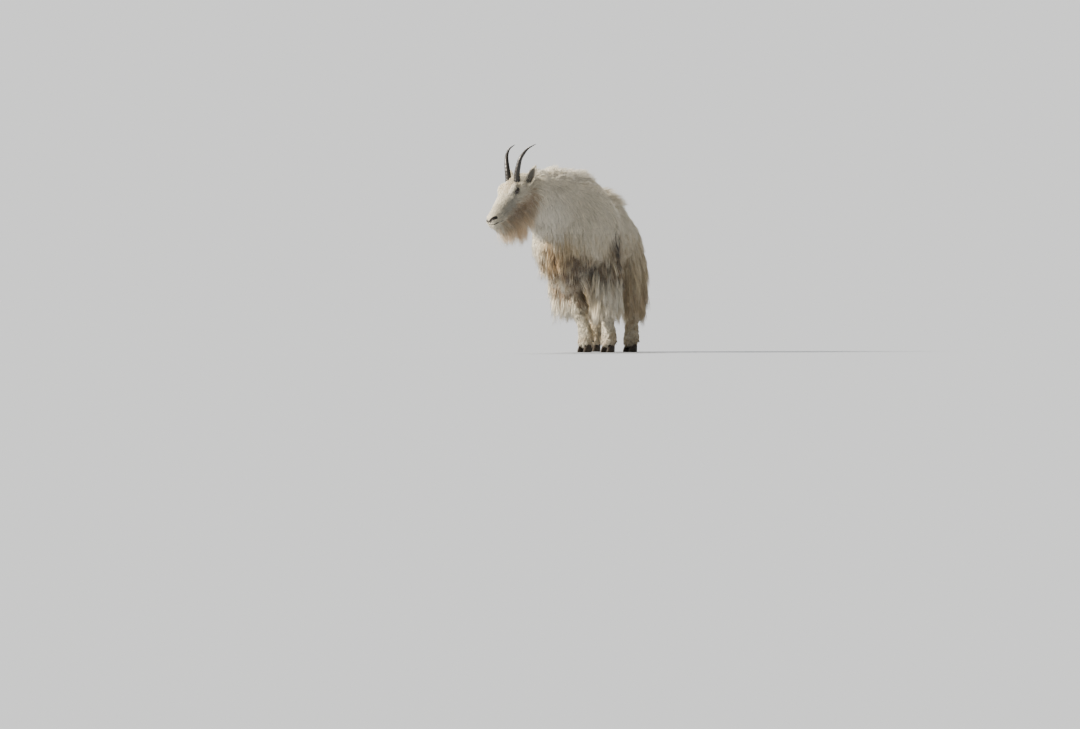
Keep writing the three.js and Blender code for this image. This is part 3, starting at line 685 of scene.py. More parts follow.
MARKINGS = (
    Patch(Tone.WHITE, (0.00, -0.56, 0.70), (0.16, 0.16, 0.20), 0.8, 0.2),
    Patch(Tone.WHITE, (0.00, -0.30, 1.02), (0.20, 0.40, 0.09), 0.8, 0.2),
    Patch(Tone.STRAW, (0.06, 0.0, 0.50), (0.34, 0.60, 0.14), 0.45, 0.5),
    Patch(Tone.STRAW, (0.05, -0.46, 0.54), (0.14, 0.12, 0.12), 0.85, 0.4),
    Patch(Tone.TAN, (0.010, -0.45, 0.50), (0.10, 0.12, 0.09), 0.85, 0.6, 0.02),
    Patch(Tone.BROWN, (0.08, -0.40, 0.49), (0.10, 0.10, 0.075), 0.9, 0.7, 0.018),
    # Painted shade in the gaps between the brisket's locks, over dirty hair.
    Patch(Tone.SOIL_AND_SHADE, (0.065, -0.41, 0.515), (0.075, 0.07, 0.038), 0.95, 0.7, 0.016),
    # Painted shade and dirt in the band at the elbows, where the chest meets the forelegs.
    Patch(Tone.SOIL_AND_SHADE, (0.14, -0.30, 0.460), (0.08, 0.12, 0.042), 0.98, 0.6, 0.016),
    Patch(Tone.SOIL_AND_SHADE, (0.18, -0.24, 0.420), (0.05, 0.06, 0.045), 0.70, 0.6, 0.016),
    # Painted shade under the belly, seen in the gap between the forelegs.
    Patch(Tone.SOIL_AND_SHADE, (0.052, -0.24, 0.335), (0.028, 0.08, 0.055), 0.85, 0.4),
    # Painted shade at the front of the right hind thigh.
    Patch(Tone.BROWN, (-0.140, 0.050, 0.340), (0.07, 0.07, 0.150), 0.85, 0.3),
    # Painted shade under the middle of the belly, between the legs.
    Patch(Tone.BROWN, (0.000, -0.100, 0.350), (0.07, 0.13, 0.110), 0.90, 0.3),
    # Painted light: brightens the right foreleg's long hair where it catches the light.
    Patch(Tone.WHITE, (-0.100, -0.22, 0.290), (0.08, 0.10, 0.090), 0.65, 0.4),
    Patch(Tone.WHITE, (0.200, -0.20, 0.300), (0.06, 0.10, 0.080), 0.65, 0.4),
    # Painted shade and dirt at the left elbow.
    Patch(Tone.BROWN, (0.20, -0.22, 0.50), (0.07, 0.09, 0.050), 0.6, 0.6, 0.02),
    # Dark smear behind the left elbow: painted shade in the fold between shoulder and flank, with dirt.
    Patch(Tone.BROWN, (0.215, -0.130, 0.525), (0.09, 0.090, 0.150), 0.6, 0.4),
    Patch(Tone.SOIL_AND_SHADE, (0.215, -0.140, 0.545), (0.07, 0.060, 0.110), 0.95, 0.4),
    # Painted shade at the front of the left hind thigh.
    Patch(Tone.BROWN, (0.150, 0.050, 0.340), (0.07, 0.060, 0.180), 0.75, 0.5, 0.02),
    Patch(Tone.WHITE, (-0.125, -0.41, 0.53), (0.075, 0.12, 0.16), 0.85, 0.3),
    Patch(Tone.TAN, (-0.11, -0.24, 0.40), (0.09, 0.10, 0.07), 0.85, 0.5, 0.02),
    Patch(Tone.BROWN, (-0.06, -0.22, 0.38), (0.07, 0.08, 0.07), 0.7, 0.6, 0.018),
    Patch(Tone.BROWN, (0.04, -0.22, 0.38), (0.06, 0.10, 0.12), 0.8, 0.4),
    Patch(Tone.STRAW, (0.12, -0.26, 0.30), (0.07, 0.08, 0.08), 0.5, 0.7, 0.014),
    Patch(Tone.STRAW, (0.10, 0.16, 0.38), (0.16, 0.22, 0.18), 0.50, 0.4),
    Patch(Tone.STRAW, (-0.13, 0.16, 0.38), (0.16, 0.22, 0.18), 0.50, 0.4),
    Patch(Tone.TAN, (0.12, 0.24, 0.30), (0.12, 0.06, 0.16), 0.55, 0.5, 0.02),
    Patch(Tone.TAN, (0.12, 0.12, 0.26), (0.08, 0.08, 0.10), 0.5, 0.6, 0.02),
    Patch(Tone.STRAW, (0.10, 0.19, 0.12), (0.10, 0.06, 0.14), 0.70, 0.4),
    Patch(Tone.STRAW, (-0.14, 0.14, 0.12), (0.10, 0.10, 0.14), 0.6, 0.4),
    Patch(Tone.STRAW, (0.02, -0.12, 0.14), (0.06, 0.05, 0.16), 0.8, 0.4),
    Patch(Tone.STRAW, (0.18, -0.12, 0.13), (0.06, 0.05, 0.14), 0.7, 0.4),
    Patch(Tone.SOIL_AND_SHADE, (0.150, -0.215, 0.180), (0.022, 0.03, 0.022), 0.6, 0.6, 0.012),
    Patch(Tone.SOIL_AND_SHADE, (-0.005, -0.205, 0.190), (0.016, 0.03, 0.014), 0.7, 0.5, 0.012),
    Patch(Tone.TAN, (0.10, -0.10, 0.055), (0.35, 0.35, 0.030), 0.35, 0.6, 0.02),
    Patch(Tone.WHITE, (0.165, 0.058, 0.026), (0.05, 0.025, 0.014), 0.8, 0.3, 0.010, True),
    # Painted shade on the side of the muzzle.
    Patch(Tone.GREY, (0.215, 0.045, -0.030), (0.085, 0.030, 0.034), 0.80, 0.4, 0.012, True),
    Patch(Tone.TAN, (0.175, 0.062, -0.085), (0.095, 0.045, 0.030), 0.75, 0.5, 0.015, True),
    Patch(Tone.TAN, (0.110, 0.070, -0.115), (0.060, 0.04, 0.040), 0.7, 0.5, 0.015, True),
    Patch(Tone.BROWN, (0.190, 0.045, -0.105), (0.075, 0.04, 0.030), 0.65, 0.6, 0.014, True),
    Patch(Tone.BROWN, (0.250, 0.040, -0.085), (0.060, 0.04, 0.022), 0.55, 0.6, 0.012, True),
    Patch(Tone.STRAW, (0.110, 0.020, 0.040), (0.055, 0.026, 0.03), 0.5, 0.7, 0.010, True),
    Patch(Tone.TAN, (0.170, 0.000, -0.150), (0.12, 0.07, 0.07), 0.7, 0.6, 0.014, True),
    # The beard's lower front: partly its own warm colour, partly painted light.
    Patch(Tone.PEACH, (0.300, 0.000, -0.170), (0.12, 0.07, 0.10), 0.9, 0.4, 0.014, True),
    Patch(Tone.SLATE, (0.172, 0.055, -0.012), (0.030, 0.014, 0.006), 0.60, 0.15, 0.010, True),
    Patch(Tone.SLATE, (0.129, 0.066, 0.003), (0.024, 0.02, 0.014), 0.85, 0.1, 0.010, True),
)


def markings(points: Array) -> Array:
    """The colour of the coat at each point, the same for the skin and for the hair, with the painted shade and light
    of some markings.

    Args:
        points: Places in space.

    Returns:
        Linear red, green and blue for each point.
    """
    colour = np.tile(np.array(Tone.CREAM.value), (len(points), 1))
    colour *= 1.0 + 0.05 * waves(points, 0.05, 3)[:, None]
    for seed, patch in enumerate(MARKINGS):
        cover = patch.cover(points, 50 + seed)[:, None]
        colour = colour * (1.0 - cover) + np.array(patch.tone.value) * cover
    return np.clip(colour, 0.0, 1.0)


def bare_cover(points: Array) -> Array:
    """Where the skin shows dark and bare: nostrils, the line of the mouth and the rims of the lids."""
    place = HEAD.inside(points)
    place[:, 1] = np.abs(place[:, 1])
    nostril = nostril_distance(place)
    mouth = mouth_distance(place)
    eye = np.linalg.norm((place - np.array(EYE_PLACE)) / (0.0220, 0.03, 0.0128), axis=1)
    cover = 1.0 - smooth_step(0.0075, 0.0125, nostril)
    septum = np.linalg.norm((place - (0.353, 0.0, 0.006)) / (0.010, 0.012, 0.008), axis=1)
    cover = np.maximum(cover, 0.85 * (1.0 - smooth_step(0.7, 1.2, septum)))
    cover = np.maximum(cover, 0.95 * (1.0 - smooth_step(0.0022, 0.0052, mouth)))
    return np.maximum(cover, 0.95 * (1.0 - smooth_step(0.85, 1.12, eye)))


def nostril_distance(place: Array) -> Array:
    """How far points of the head's left half lie from the slit of the nostril."""
    nearest = np.full(len(place), 9.0)
    for near, far in zip(NOSTRIL_LINE[:-1], NOSTRIL_LINE[1:]):
        nearest = np.minimum(nearest, segment_distance(place, np.array(near), np.array(far)))
    return nearest


def segment_distance(points: Array, start: Array, end: Array) -> Array:
    """The distance of points from a straight stretch."""
    span = end - start
    share = np.clip(((points - start) @ span) / (span @ span), 0.0, 1.0)
    return np.linalg.norm(points - start - share[:, None] * span, axis=1)


# In head axes, on the left side: the slit of the nostril, and heights of the mouth along the face.
NOSTRIL_LINE = (
    (0.3530, 0.0105, 0.006), (0.3470, 0.0200, 0.0125),
    (0.3330, 0.0290, 0.0110), (0.3230, 0.0320, 0.003),
)
MOUTH_ALONG = (0.296, 0.318, 0.340, 0.366, 0.390)
MOUTH_UP = (-0.050, -0.036, -0.021, -0.009, 0.000)


def mouth_distance(place: Array) -> Array:
    """How far points of the head lie above or below the line of the mouth."""
    height = np.interp(place[:, 0], MOUTH_ALONG, MOUTH_UP)
    behind = np.maximum(MOUTH_ALONG[0] - place[:, 0], 0.0)
    beyond = np.maximum(place[:, 0] - MOUTH_ALONG[-1], 0.0) + np.maximum(place[:, 1] - 0.045, 0.0)
    return np.hypot(place[:, 2] - height, behind) + beyond


@dataclass
class Skin:
    """The one seamless skin of the whole animal, below its coat."""

    body: Body
    voxel: float = 0.0075
    head_voxel: float = 0.0022
    lofts: dict[str, Loft] = field(default_factory=dict)
    piece: bpy.types.Object | None = None

    def build(self) -> bpy.types.Object:
        """Build and sculpt the skin.

        Returns:
            The finished object.
        """
        body = self.body
        self.lofts = {
            "trunk": body.trunk(), "neck": body.neck(),
            "skull": body.skull(), "tail": body.tail(),
        }
        for name in LEG_NAMES:
            self.lofts[name] = body.leg(name)
        whole = joined_voxels("skin", list(self.lofts.values()), self.voxel, 56)
        relax(whole.data, np.full(len(whole.data.vertices), 0.5), 5)
        relax(whole.data, self.creases(points_of(whole.data)) * 0.5, 90)
        face = [self.lofts["skull"], body.chin(), body.brow(1.0), body.brow(-1.0)]
        head = joined_voxels("head_skin", face, self.head_voxel, 72)
        self.sculpt(head.data)
        others = [head]
        for name, side in SIDES.items():
            self.lofts[f"ear_{name}"] = body.ear(side)
            others.append(self.ear(side))
        for other in others:
            union = whole.modifiers.new("join", "BOOLEAN")
            union.operation = "UNION"
            union.solver = "MANIFOLD"
            union.object = other
        apply_modifiers(whole)
        for other in others:
            bpy.data.objects.remove(other)
        points = points_of(whole.data)
        reaches = np.sort([self.lofts[name].locate(points)[2] for name in ("skull", "neck")], axis=0)
        relax(whole.data, (1.0 - smooth_step(0.04, 0.22, reaches[1] - reaches[0])) * 0.5, 60)
        whole.data.polygons.foreach_set("use_smooth", np.ones(len(whole.data.polygons), bool))
        self.piece = whole
        return whole

    def creases(self, points: Array) -> Array:
        """Where two bodies meet in a crease.

        Args:
            points: Places on the skin.

        Returns:
            1 in the crease, falling to 0 away from it.
        """
        reaches = np.sort([loft.locate(points)[2] for loft in self.lofts.values()], axis=0)
        low = smooth_step(0.20, 0.34, points[:, 2])
        return (1.0 - smooth_step(0.05, 0.30, reaches[1] - reaches[0])) * low

    def sculpt(self, mesh: bpy.types.Mesh) -> None:
        """Work the eye sockets, lids, nostrils, lips and cheeks into the head.

        Args:
            mesh: The head's mesh, changed in place.
        """
        relax(mesh, np.full(len(mesh.vertices), 0.5), 6)
        points = points_of(mesh)
        normals = normals_of(mesh)
        place = HEAD.inside(points)
        side = np.sign(place[:, 1])
        place[:, 1] = np.abs(place[:, 1])
        mouth = mouth_distance(place)
        muzzle = smooth_step(0.285, 0.305, place[:, 0])
        lips = np.exp(-((mouth - 0.007) / 0.005) ** 2) * muzzle * 0.0016
        groove = np.exp(-(mouth / 0.0022) ** 2) * smooth_step(0.292, 0.300, place[:, 0]) * 0.0050
        nostril = nostril_distance(place)
        hole = np.exp(-(nostril / 0.0044) ** 2) * 0.0125
        wing = np.exp(-((nostril - 0.0095) / 0.0035) ** 2) * 0.0022
        crease = segment_distance(place, np.array((0.149, 0.056, -0.006)), np.array((0.205, 0.046, -0.028)))
        tear = np.exp(-(crease / 0.005) ** 2) * 0.0022
        cheek = np.exp(
            -(np.linalg.norm((place - (0.105, 0.07, -0.075)) / (0.055, 0.05, 0.042), axis=1)) ** 2
        ) * 0.004
        cleft = np.exp(-(place[:, 1] / 0.0025) ** 2) * smooth_step(0.335, 0.350, place[:, 0])
        cleft *= np.exp(-((place[:, 2] - 0.002) / 0.012) ** 2) * 0.0022
        points += normals * (lips + wing + cheek - groove - hole - tear - cleft)[:, None]
        points = self.set_lids(points, side)
        place_points(mesh, points)

    def set_lids(self, points: Array, side: Array) -> Array:
        """Open the lids round each eyeball and thicken their rims.

        Args:
            points: Places of the head's points.
            side: 1 for points on the left half and -1 on the right.

        Returns:
            The moved points.
        """
        place = HEAD.inside(points)
        away = place - np.array(EYE_PLACE) * np.stack(
            (np.ones(len(side)), side, np.ones(len(side))), axis=1
        )
        outward = away[:, 1] * side
        slant = away[:, 2] + away[:, 0] * 0.12
        almond = 1.0 - 0.35 * np.clip(np.abs(away[:, 0]) / 0.017, 0.0, 1.0) ** 2
        half_height = np.where(slant > 0, 0.0090, 0.0072) * almond
        ring = np.sqrt((away[:, 0] / 0.0168) ** 2 + (slant / half_height) ** 2)
        flat = np.hypot(away[:, 0], away[:, 2])
        ball = np.sqrt(np.maximum(EYE_RADIUS**2 - flat**2, 0.0))
        near = (outward > -0.01) & (flat < 0.045)
        lid = ball + np.where(slant > 0, 0.0034, 0.0026)
        lid = np.maximum(lid, 0.0015)
        inside_eye = ball - 0.0050
        hold = 1.0 - smooth_step(1.15, 2.3, ring)
        target = outward * (1.0 - hold) + lid * hold
        opening = 1.0 - smooth_step(0.86, 1.02, ring)
        target = target * (1.0 - opening) + inside_eye * opening
        fold = np.exp(-((ring - 1.85) / 0.16) ** 2) * np.where(slant > 0, 0.0022, 0.0012)
        target = target - fold
        moved = np.where(near, target, outward)
        return points + HEAD.left * ((moved - outward) * side)[:, None]

    def ear(self, side: float) -> bpy.types.Object:
        """An ear: a cupped leaf with a rolled edge.

        Args:
            side: 1 for the left ear and -1 for the right.

        Returns:
            A closed object that reaches into the head.
        """
        base, along, front, across = ear_axes(side)
        knots = np.array(EAR_HALVES)
        rows, arc = 40, 12
        points = []
        for share in np.linspace(0.0, len(knots) - 1.0, rows):
            t, half = spline(knots, np.array([share]))[0]
            cup = smooth_step(0.0, 0.22, np.array([t]))[0]
            bend = EAR_BEND * math.sin(math.pi * max(t, 0.0))
            middle = base + along * (t * EAR_LENGTH) - front * bend
            angles = np.linspace(0.0, math.pi, arc)
            outer = [(math.cos(a) * half, -math.sin(a) * half * EAR_CUP) for a in angles]
            hollow = (half - 0.0024) * 0.86
            inner = [
                (-math.cos(a) * hollow, -math.sin(a) * hollow * EAR_CUP * cup + 0.006 * (1 - cup))
                for a in angles[1:-1]
            ]
            points += [middle + across * x + front * y for x, y in outer + inner]
        count = arc * 2 - 2
        points.append(base - along * (0.20 * EAR_LENGTH))
        points.append(base + along * EAR_LENGTH)
        faces = []
        for row in range(rows - 1):
            for i in range(count):
                a, b = row * count + i, row * count + (i + 1) % count
                faces.append((a, b, b + count, a + count))
        last = (rows - 1) * count
        for i in range(count):
            j = (i + 1) % count
            faces += [(rows * count, j, i), (rows * count + 1, last + i, last + j)]
        return new_object("ear_skin", mesh_of("ear_skin", np.array(points), faces))

    def owners(self, points: Array) -> tuple[Array, Array, Array]:
        """Which loft each point of the skin belongs to, and where on it.

        Args:
            points: Places on the skin.

        Returns:
            The loft's number, the slice number and the angle for each point.
        """
        best = np.full(len(points), np.inf)
        owner = np.zeros(len(points), int)
        place = np.zeros(len(points))
        angle = np.zeros(len(points))
        for number, loft in enumerate(self.lofts.values()):
            own_place, own_angle, reach = loft.locate(points)
            better = reach < best
            best[better] = reach[better]
            owner[better] = number
            place[better] = own_place[better]
            angle[better] = own_angle[better]
        return owner, place, angle

    def unwrap(self, owner: Array, place: Array, angle: Array) -> Array:
        """Places on the flat map of the skin: each loft is one tile, slices along and angles across.

        Args:
            owner: Loft number of each point.
            place: Slice number of each point.
            angle: Angle of each point, which may pass a whole turn at a seam.

        Returns:
            Two map coordinates for each point.
        """
        columns = 4
        lasts = np.array([loft.last for loft in self.lofts.values()], float)
        tile = 1.0 / columns
        margin = 0.06
        across = (angle / math.tau + 0.5) * (1 - 2 * margin) + margin
        along = place / lasts[owner] * (1 - 2 * margin) + margin
        return np.stack(((owner % columns + across) * tile, (owner // columns + along) * tile), axis=1)

    def finish(self, material: bpy.types.Material) -> None:
        """Colour the skin, unwrap it and put its material on.

        Args:
            material: The skin's material.
        """
        mesh = self.piece.data
        points = points_of(mesh)
        bare = bare_cover(points)
        colour = markings(points) * 0.80
        inner_ear = self.inner_ear(points)
        cup = inner_ear[:, None] * 0.9
        colour = colour * (1 - cup) + np.array(Tone.SLATE.value) * 0.75 * cup
        colour = colour * (1.0 - bare[:, None]) + np.array(Tone.BARE.value) * bare[:, None]
        paint(mesh, colour, np.zeros(len(points)))
        wet = mesh.attributes.new("Bare", "FLOAT", "POINT")
        wet.data.foreach_set("value", bare.astype(np.float32))
        self.write_map(mesh)
        mesh.materials.clear()
        mesh.materials.append(material)

    def inner_ear(self, points: Array) -> Array:
        """Where points lie in the cup of an ear."""
        cover = np.zeros(len(points))
        for side in SIDES.values():
            base, along, front, across = ear_axes(side)
            away = points - base
            t, x, y = away @ along / EAR_LENGTH, away @ across, away @ front
            half = np.interp(t, *np.array(EAR_HALVES).T) * 0.93
            bend = EAR_BEND * np.sin(math.pi * np.clip(t, 0.0, 1.0))
            wall = EAR_CUP * np.sqrt(np.maximum(half**2 - x**2, 0.0))
            inside = smooth_step(0.0, 0.12, t) * (1 - smooth_step(0.76, 0.90, t))
            inside *= (
                (1 - smooth_step(0.72, 0.98, np.abs(x) / half))
                * smooth_step(-0.0015, 0.0005, y + bend + wall)
            )
            cover = np.maximum(cover, np.where(np.abs(t) < 1.1, inside, 0.0) * (y < 0.03))
        return cover

    def write_map(self, mesh: bpy.types.Mesh) -> None:
        """Write the flat map of the skin, face by face so that no face crosses a seam.

        Args:
            mesh: The skin's mesh.
        """
        loops = np.zeros(len(mesh.loops), np.int32)
        mesh.loops.foreach_get("vertex_index", loops)
        starts = np.zeros(len(mesh.polygons), np.int32)
        totals = np.zeros(len(mesh.polygons), np.int32)
        mesh.polygons.foreach_get("loop_start", starts)
        mesh.polygons.foreach_get("loop_total", totals)
        face_of = np.repeat(np.arange(len(starts)), totals)
        points = points_of(mesh)
        owner = self.owners(points)[0]
        face_owner = owner[loops[starts]]
        place = np.zeros(len(loops))
        angle = np.zeros(len(loops))
        for number, loft in enumerate(self.lofts.values()):
            chosen = np.nonzero(face_owner[face_of] == number)[0]
            if len(chosen):
                place[chosen], angle[chosen], _ = loft.locate(points[loops[chosen]])
        first = angle[starts][face_of]
        angle = np.where(angle - first > math.pi, angle - math.tau, angle)
        angle = np.where(angle - first < -math.pi, angle + math.tau, angle)
        flat = self.unwrap(face_owner[face_of], place, angle)
        layer = mesh.uv_layers.new(name="OFBake")
        layer.data.foreach_set("uv", flat.astype(np.float32).ravel())


def paint(mesh: bpy.types.Mesh, colour: Array, along: Array) -> None:
    """Store a colour at each point of a mesh, and how far along its hair the point is."""
    layer = mesh.attributes.new("Tone", "FLOAT_COLOR", "POINT")
    layer.data.foreach_set(
        "color", np.concatenate((colour, along[:, None]), axis=1).astype(np.float32).ravel()
    )


@dataclass(frozen=True)
class Guide:
    """A guide hair: its place on a loft, the way it lies, its length, lift and fall."""

    loft: str
    place: float
    degrees: float
    lie: tuple[float, float, float]
    length: float
    lift: float
    fall: float


TRUNK_GUIDES = (
    (2.2, 90, (0, 0.9, 0.3), 0.125, 0.90, 0.0), (3.0, 90, (0, 0.9, 0.3), 0.112, 0.78, 0.0),
    (3.7, 90, (0, 1, 0.1), 0.095, 0.55, 0.05), (4.4, 90, (0, 1, -0.2), 0.075, 0.28, 0.15),
    (5.3, 90, (0, 1, -0.4), 0.062, 0.12, 0.2), (6.1, 90, (0, 1, 0.2), 0.130, 1.15, 0.0),
    (7.2, 90, (0, 1, 0), 0.120, 0.85, 0.1), (9.0, 90, (0, 1, -0.7), 0.100, 0.45, 0.3),
    (10.4, 90, (0, 0.6, -1), 0.080, 0.30, 0.6),
    (3.2, 55, (0, 0.8, -0.5), 0.055, 0.22, 0.2), (5.5, 50, (0, 0.8, -0.6), 0.052, 0.20, 0.3),
    (8.0, 50, (0, 0.8, -0.6), 0.060, 0.22, 0.3), (10.0, 45, (0, 0.5, -0.9), 0.080, 0.24, 0.5),
    (3.0, 10, (0, 0.4, -0.9), 0.045, 0.18, 0.3), (5.5, 10, (0, 0.4, -0.9), 0.050, 0.18, 0.3),
    (8.0, 10, (0, 0.4, -0.9), 0.062, 0.20, 0.4), (10.0, 10, (0, 0.3, -1), 0.090, 0.24, 0.6),
    (1.0, -20, (0, 0.1, -1), 0.105, 0.30, 0.6), (3.0, -30, (0, 0.3, -1), 0.100, 0.24, 0.6),
    (5.5, -30, (0, 0.35, -1), 0.115, 0.28, 0.6), (8.0, -30, (0, 0.3, -1), 0.115, 0.26, 0.6),
    (0.5, -60, (0, -0.1, -1), 0.165, 0.50, 0.7), (2.0, -62, (0, 0.2, -1), 0.160, 0.36, 0.8),
    (4.0, -62, (0, 0.4, -1), 0.170, 0.45, 0.8), (6.5, -65, (0, 0.5, -1), 0.115, 0.45, 0.8),
    (9.0, -60, (0, 0.2, -1), 0.110, 0.40, 0.8), (2.0, -90, (0, 0.1, -1), 0.215, 0.60, 0.95),
    (5.0, -90, (0, 0.2, -1), 0.205, 0.60, 0.95), (8.0, -90, (0, 0.4, -1), 0.120, 0.55, 0.8),
)
NECK_GUIDES = (
    (0.8, 90, (0, 1, 0.2), 0.125, 0.90, 0.0), (2.0, 90, (0, 1, 0.1), 0.110, 0.85, 0.0),
    (3.3, 90, (0, 1, 0), 0.085, 0.75, 0.0),
    (1.0, 40, (0, 0.85, -0.5), 0.048, 0.20, 0.2), (3.0, 40, (0, 0.8, -0.6), 0.044, 0.20, 0.2),
    (1.0, 0, (0, 0.5, -0.9), 0.045, 0.18, 0.3), (3.0, 0, (0, 0.5, -0.9), 0.042, 0.18, 0.3),
    (1.0, -45, (0, 0.3, -1), 0.060, 0.20, 0.5), (3.0, -45, (0, 0.4, -1), 0.055, 0.20, 0.5),
    (1.0, -90, (0, 0.25, -1), 0.105, 0.26, 0.8), (2.2, -90, (0, 0.3, -1), 0.095, 0.26, 0.8),
    (3.5, -90, (0, 0.4, -1), 0.080, 0.28, 0.8),
)
HEAD_GUIDES = (
    (0.6, 90, (-1, 0, 0.3), 0.050, 0.40, 0.0), (2.0, 90, (-1, 0, 0.1), 0.036, 0.40, 0.0),
    (3.2, 90, (-1, 0, 0), 0.026, 0.28, 0.0), (4.2, 90, (-1, 0, 0), 0.015, 0.14, 0.0),
    (6.0, 90, (-1, 0, 0), 0.011, 0.12, 0.0), (8.5, 90, (-1, 0, 0), 0.008, 0.10, 0.0),
    (10.0, 90, (-1, 0, 0), 0.0055, 0.10, 0.0),
    (3.2, 40, (-1, 0.2, 0), 0.012, 0.15, 0.0), (5.0, 45, (-1, 0.1, 0), 0.012, 0.12, 0.0),
    (8.0, 45, (-1, 0, 0), 0.008, 0.10, 0.0),
    (1.0, 20, (-0.9, 0.2, -0.3), 0.052, 0.45, 0.2), (3.4, 5, (-0.9, 0, -0.4), 0.017, 0.16, 0.1),
    (5.5, 0, (-0.9, 0, -0.3), 0.013, 0.12, 0.1), (8.0, 0, (-0.9, 0, -0.2), 0.009, 0.10, 0.0),
    (10.0, 0, (-1, 0, 0), 0.0055, 0.10, 0.0),
    (0.8, -30, (-0.5, 0.3, -0.8), 0.070, 0.50, 0.6), (3.0, -30, (-0.7, 0, -0.7), 0.042, 0.24, 0.5),
    (5.0, -30, (-0.8, 0, -0.6), 0.024, 0.18, 0.4), (7.0, -30, (-0.9, 0, -0.4), 0.013, 0.14, 0.2),
    (9.5, -40, (-0.9, 0, -0.4), 0.008, 0.14, 0.2), (9.2, -70, (0.1, 0, -0.9), 0.040, 0.30, 0.9),
    (0.6, -72, (-0.2, 0, -0.9), 0.085, 0.30, 0.9), (2.2, -70, (-0.1, 0, -0.9), 0.080, 0.35, 1.0),
    (3.6, -70, (0, 0, -1), 0.120, 0.40, 1.0), (5.0, -72, (0.1, 0, -1), 0.185, 0.40, 1.0),
    (6.4, -72, (0.1, 0, -1), 0.195, 0.40, 1.0), (7.8, -75, (0.1, 0, -1), 0.150, 0.40, 1.0),
    (3.0, -90, (0, 0, -1), 0.095, 0.40, 1.0), (5.5, -90, (0.1, 0, -1), 0.205, 0.40, 1.0),
    (7.5, -90, (0.1, 0, -1), 0.170, 0.40, 1.0), (9.2, -90, (0.1, 0, -1), 0.080, 0.40, 1.0),
)
FORELEG_GUIDES = (
    (0.5, 0.100, 0.20, 0.6), (1.5, 0.150, 0.26, 0.7), (2.5, 0.190, 0.32, 0.8), (3.4, 0.195, 0.38, 0.85),
    (4.2, 0.130, 0.34, 0.8), (5.1, 0.044, 0.22, 0.6), (6.5, 0.024, 0.16, 0.4), (8.0, 0.024, 0.18, 0.4),
    (9.3, 0.032, 0.20, 0.5), (10.0, 0.024, 0.14, 0.6),
)
HINDLEG_GUIDES = (
    (0.5, 0.100, 0.16, 0.6), (1.5, 0.140, 0.20, 0.7), (2.5, 0.185, 0.28, 0.8), (3.4, 0.195, 0.32, 0.85),
    (4.3, 0.170, 0.34, 0.8), (5.3, 0.070, 0.24, 0.6), (6.6, 0.030, 0.18, 0.4), (8.0, 0.024, 0.18, 0.4),
    (9.3, 0.032, 0.20, 0.5), (10.0, 0.024, 0.14, 0.6),
)


@dataclass
class CoatLie:
    """The lie of the coat over the skin, from guide hairs."""

    lofts: dict[str, Loft]
    roots: Array = field(init=False)
    lies: Array = field(init=False)
    shapes: Array = field(init=False)

    def __post_init__(self) -> None:
        """Place every guide hair on its loft."""
        roots, lies, shapes = [], [], []
        for guide in self.guides():
            loft = self.lofts[guide.loft]
            angle = np.array([math.radians(guide.degrees)])
            roots.append(loft.outline(np.array([guide.place]), angle, inset=1.0)[0])
            lies.append(guide.lie)
            shapes.append((guide.length, guide.lift, guide.fall))
        self.roots, self.lies, self.shapes = np.array(roots), np.array(lies, float), np.array(shapes)

    def guides(self) -> list[Guide]:
        """Every guide hair, on both sides of the body."""
        made = []
        for name, table in (("trunk", TRUNK_GUIDES), ("neck", NECK_GUIDES), ("skull", HEAD_GUIDES)):
            for place, degrees, lie, length, lift, fall in table:
                for angle in {degrees, 180 - degrees}:
                    way = np.array(lie, float)
                    if angle != degrees:
                        way = way * (1, -1, 1) if name == "skull" else way * (-1, 1, 1)
                    turned = HEAD.turned(tuple(way)) if name == "skull" else way
                    made.append(Guide(name, place, angle, tuple(turned), length, lift, fall))
        for name in LEG_NAMES:
            for place, length, lift, fall in FORELEG_GUIDES if name.startswith("fore") else HINDLEG_GUIDES:
                for angle in (0, 90, 180, 270):
                    made.append(Guide(name, place, angle, (0, 0.08, -1), length, lift, fall))
        for angle in (0, 90, 180, 270):
            made.append(Guide("tail", 0.5, angle, (0, 0.5, -1), 0.06, 0.2, 0.5))
            made.append(Guide("tail", 3.0, angle, (0, 0.1, -1), 0.07, 0.2, 0.7))
        for name, side in SIDES.items():
            along = ear_axes(side)[1]
            for place in (0.5, 1.5, 3.0):
                for angle in (0, 90, 180, 270):
                    made.append(Guide(f"ear_{name}", place, angle, tuple(along), 0.016, 0.12, 0.0))
        return made

    def at(self, points: Array) -> tuple[Array, Array]:
        """The lie and shape of the hair at places on the skin.

        Args:
            points: Roots of hairs.

        Returns:
            The direction of each hair, and its length, lift and fall.
        """
        lies = np.zeros((len(points), 3))
        shapes = np.zeros((len(points), 3))
        for start in range(0, len(points), 20000):
            chunk = slice(start, start + 20000)
            away = points[chunk, None, :] - self.roots[None]
            weight = 1.0 / (np.einsum("pgi,pgi->pg", away, away) + 1e-5) ** 2
            weight /= weight.sum(axis=1, keepdims=True)
            lies[chunk] = weight @ self.lies
            shapes[chunk] = weight @ self.shapes
        return unit(lies), shapes


@dataclass(frozen=True)
class CoatPart:
    """One piece of the coat: where it grows, how thick and fine it is, and how it parts into locks."""

    name: str
    lofts: tuple[str, ...]
    arc: tuple[float, float]
    stretch: tuple[float, float]
    density: float
    width: float
    rings: int = 3
    lock: float = 0.016
    gather: float = 0.45
    untidy: float = 0.10
    ragged: float = 0.10


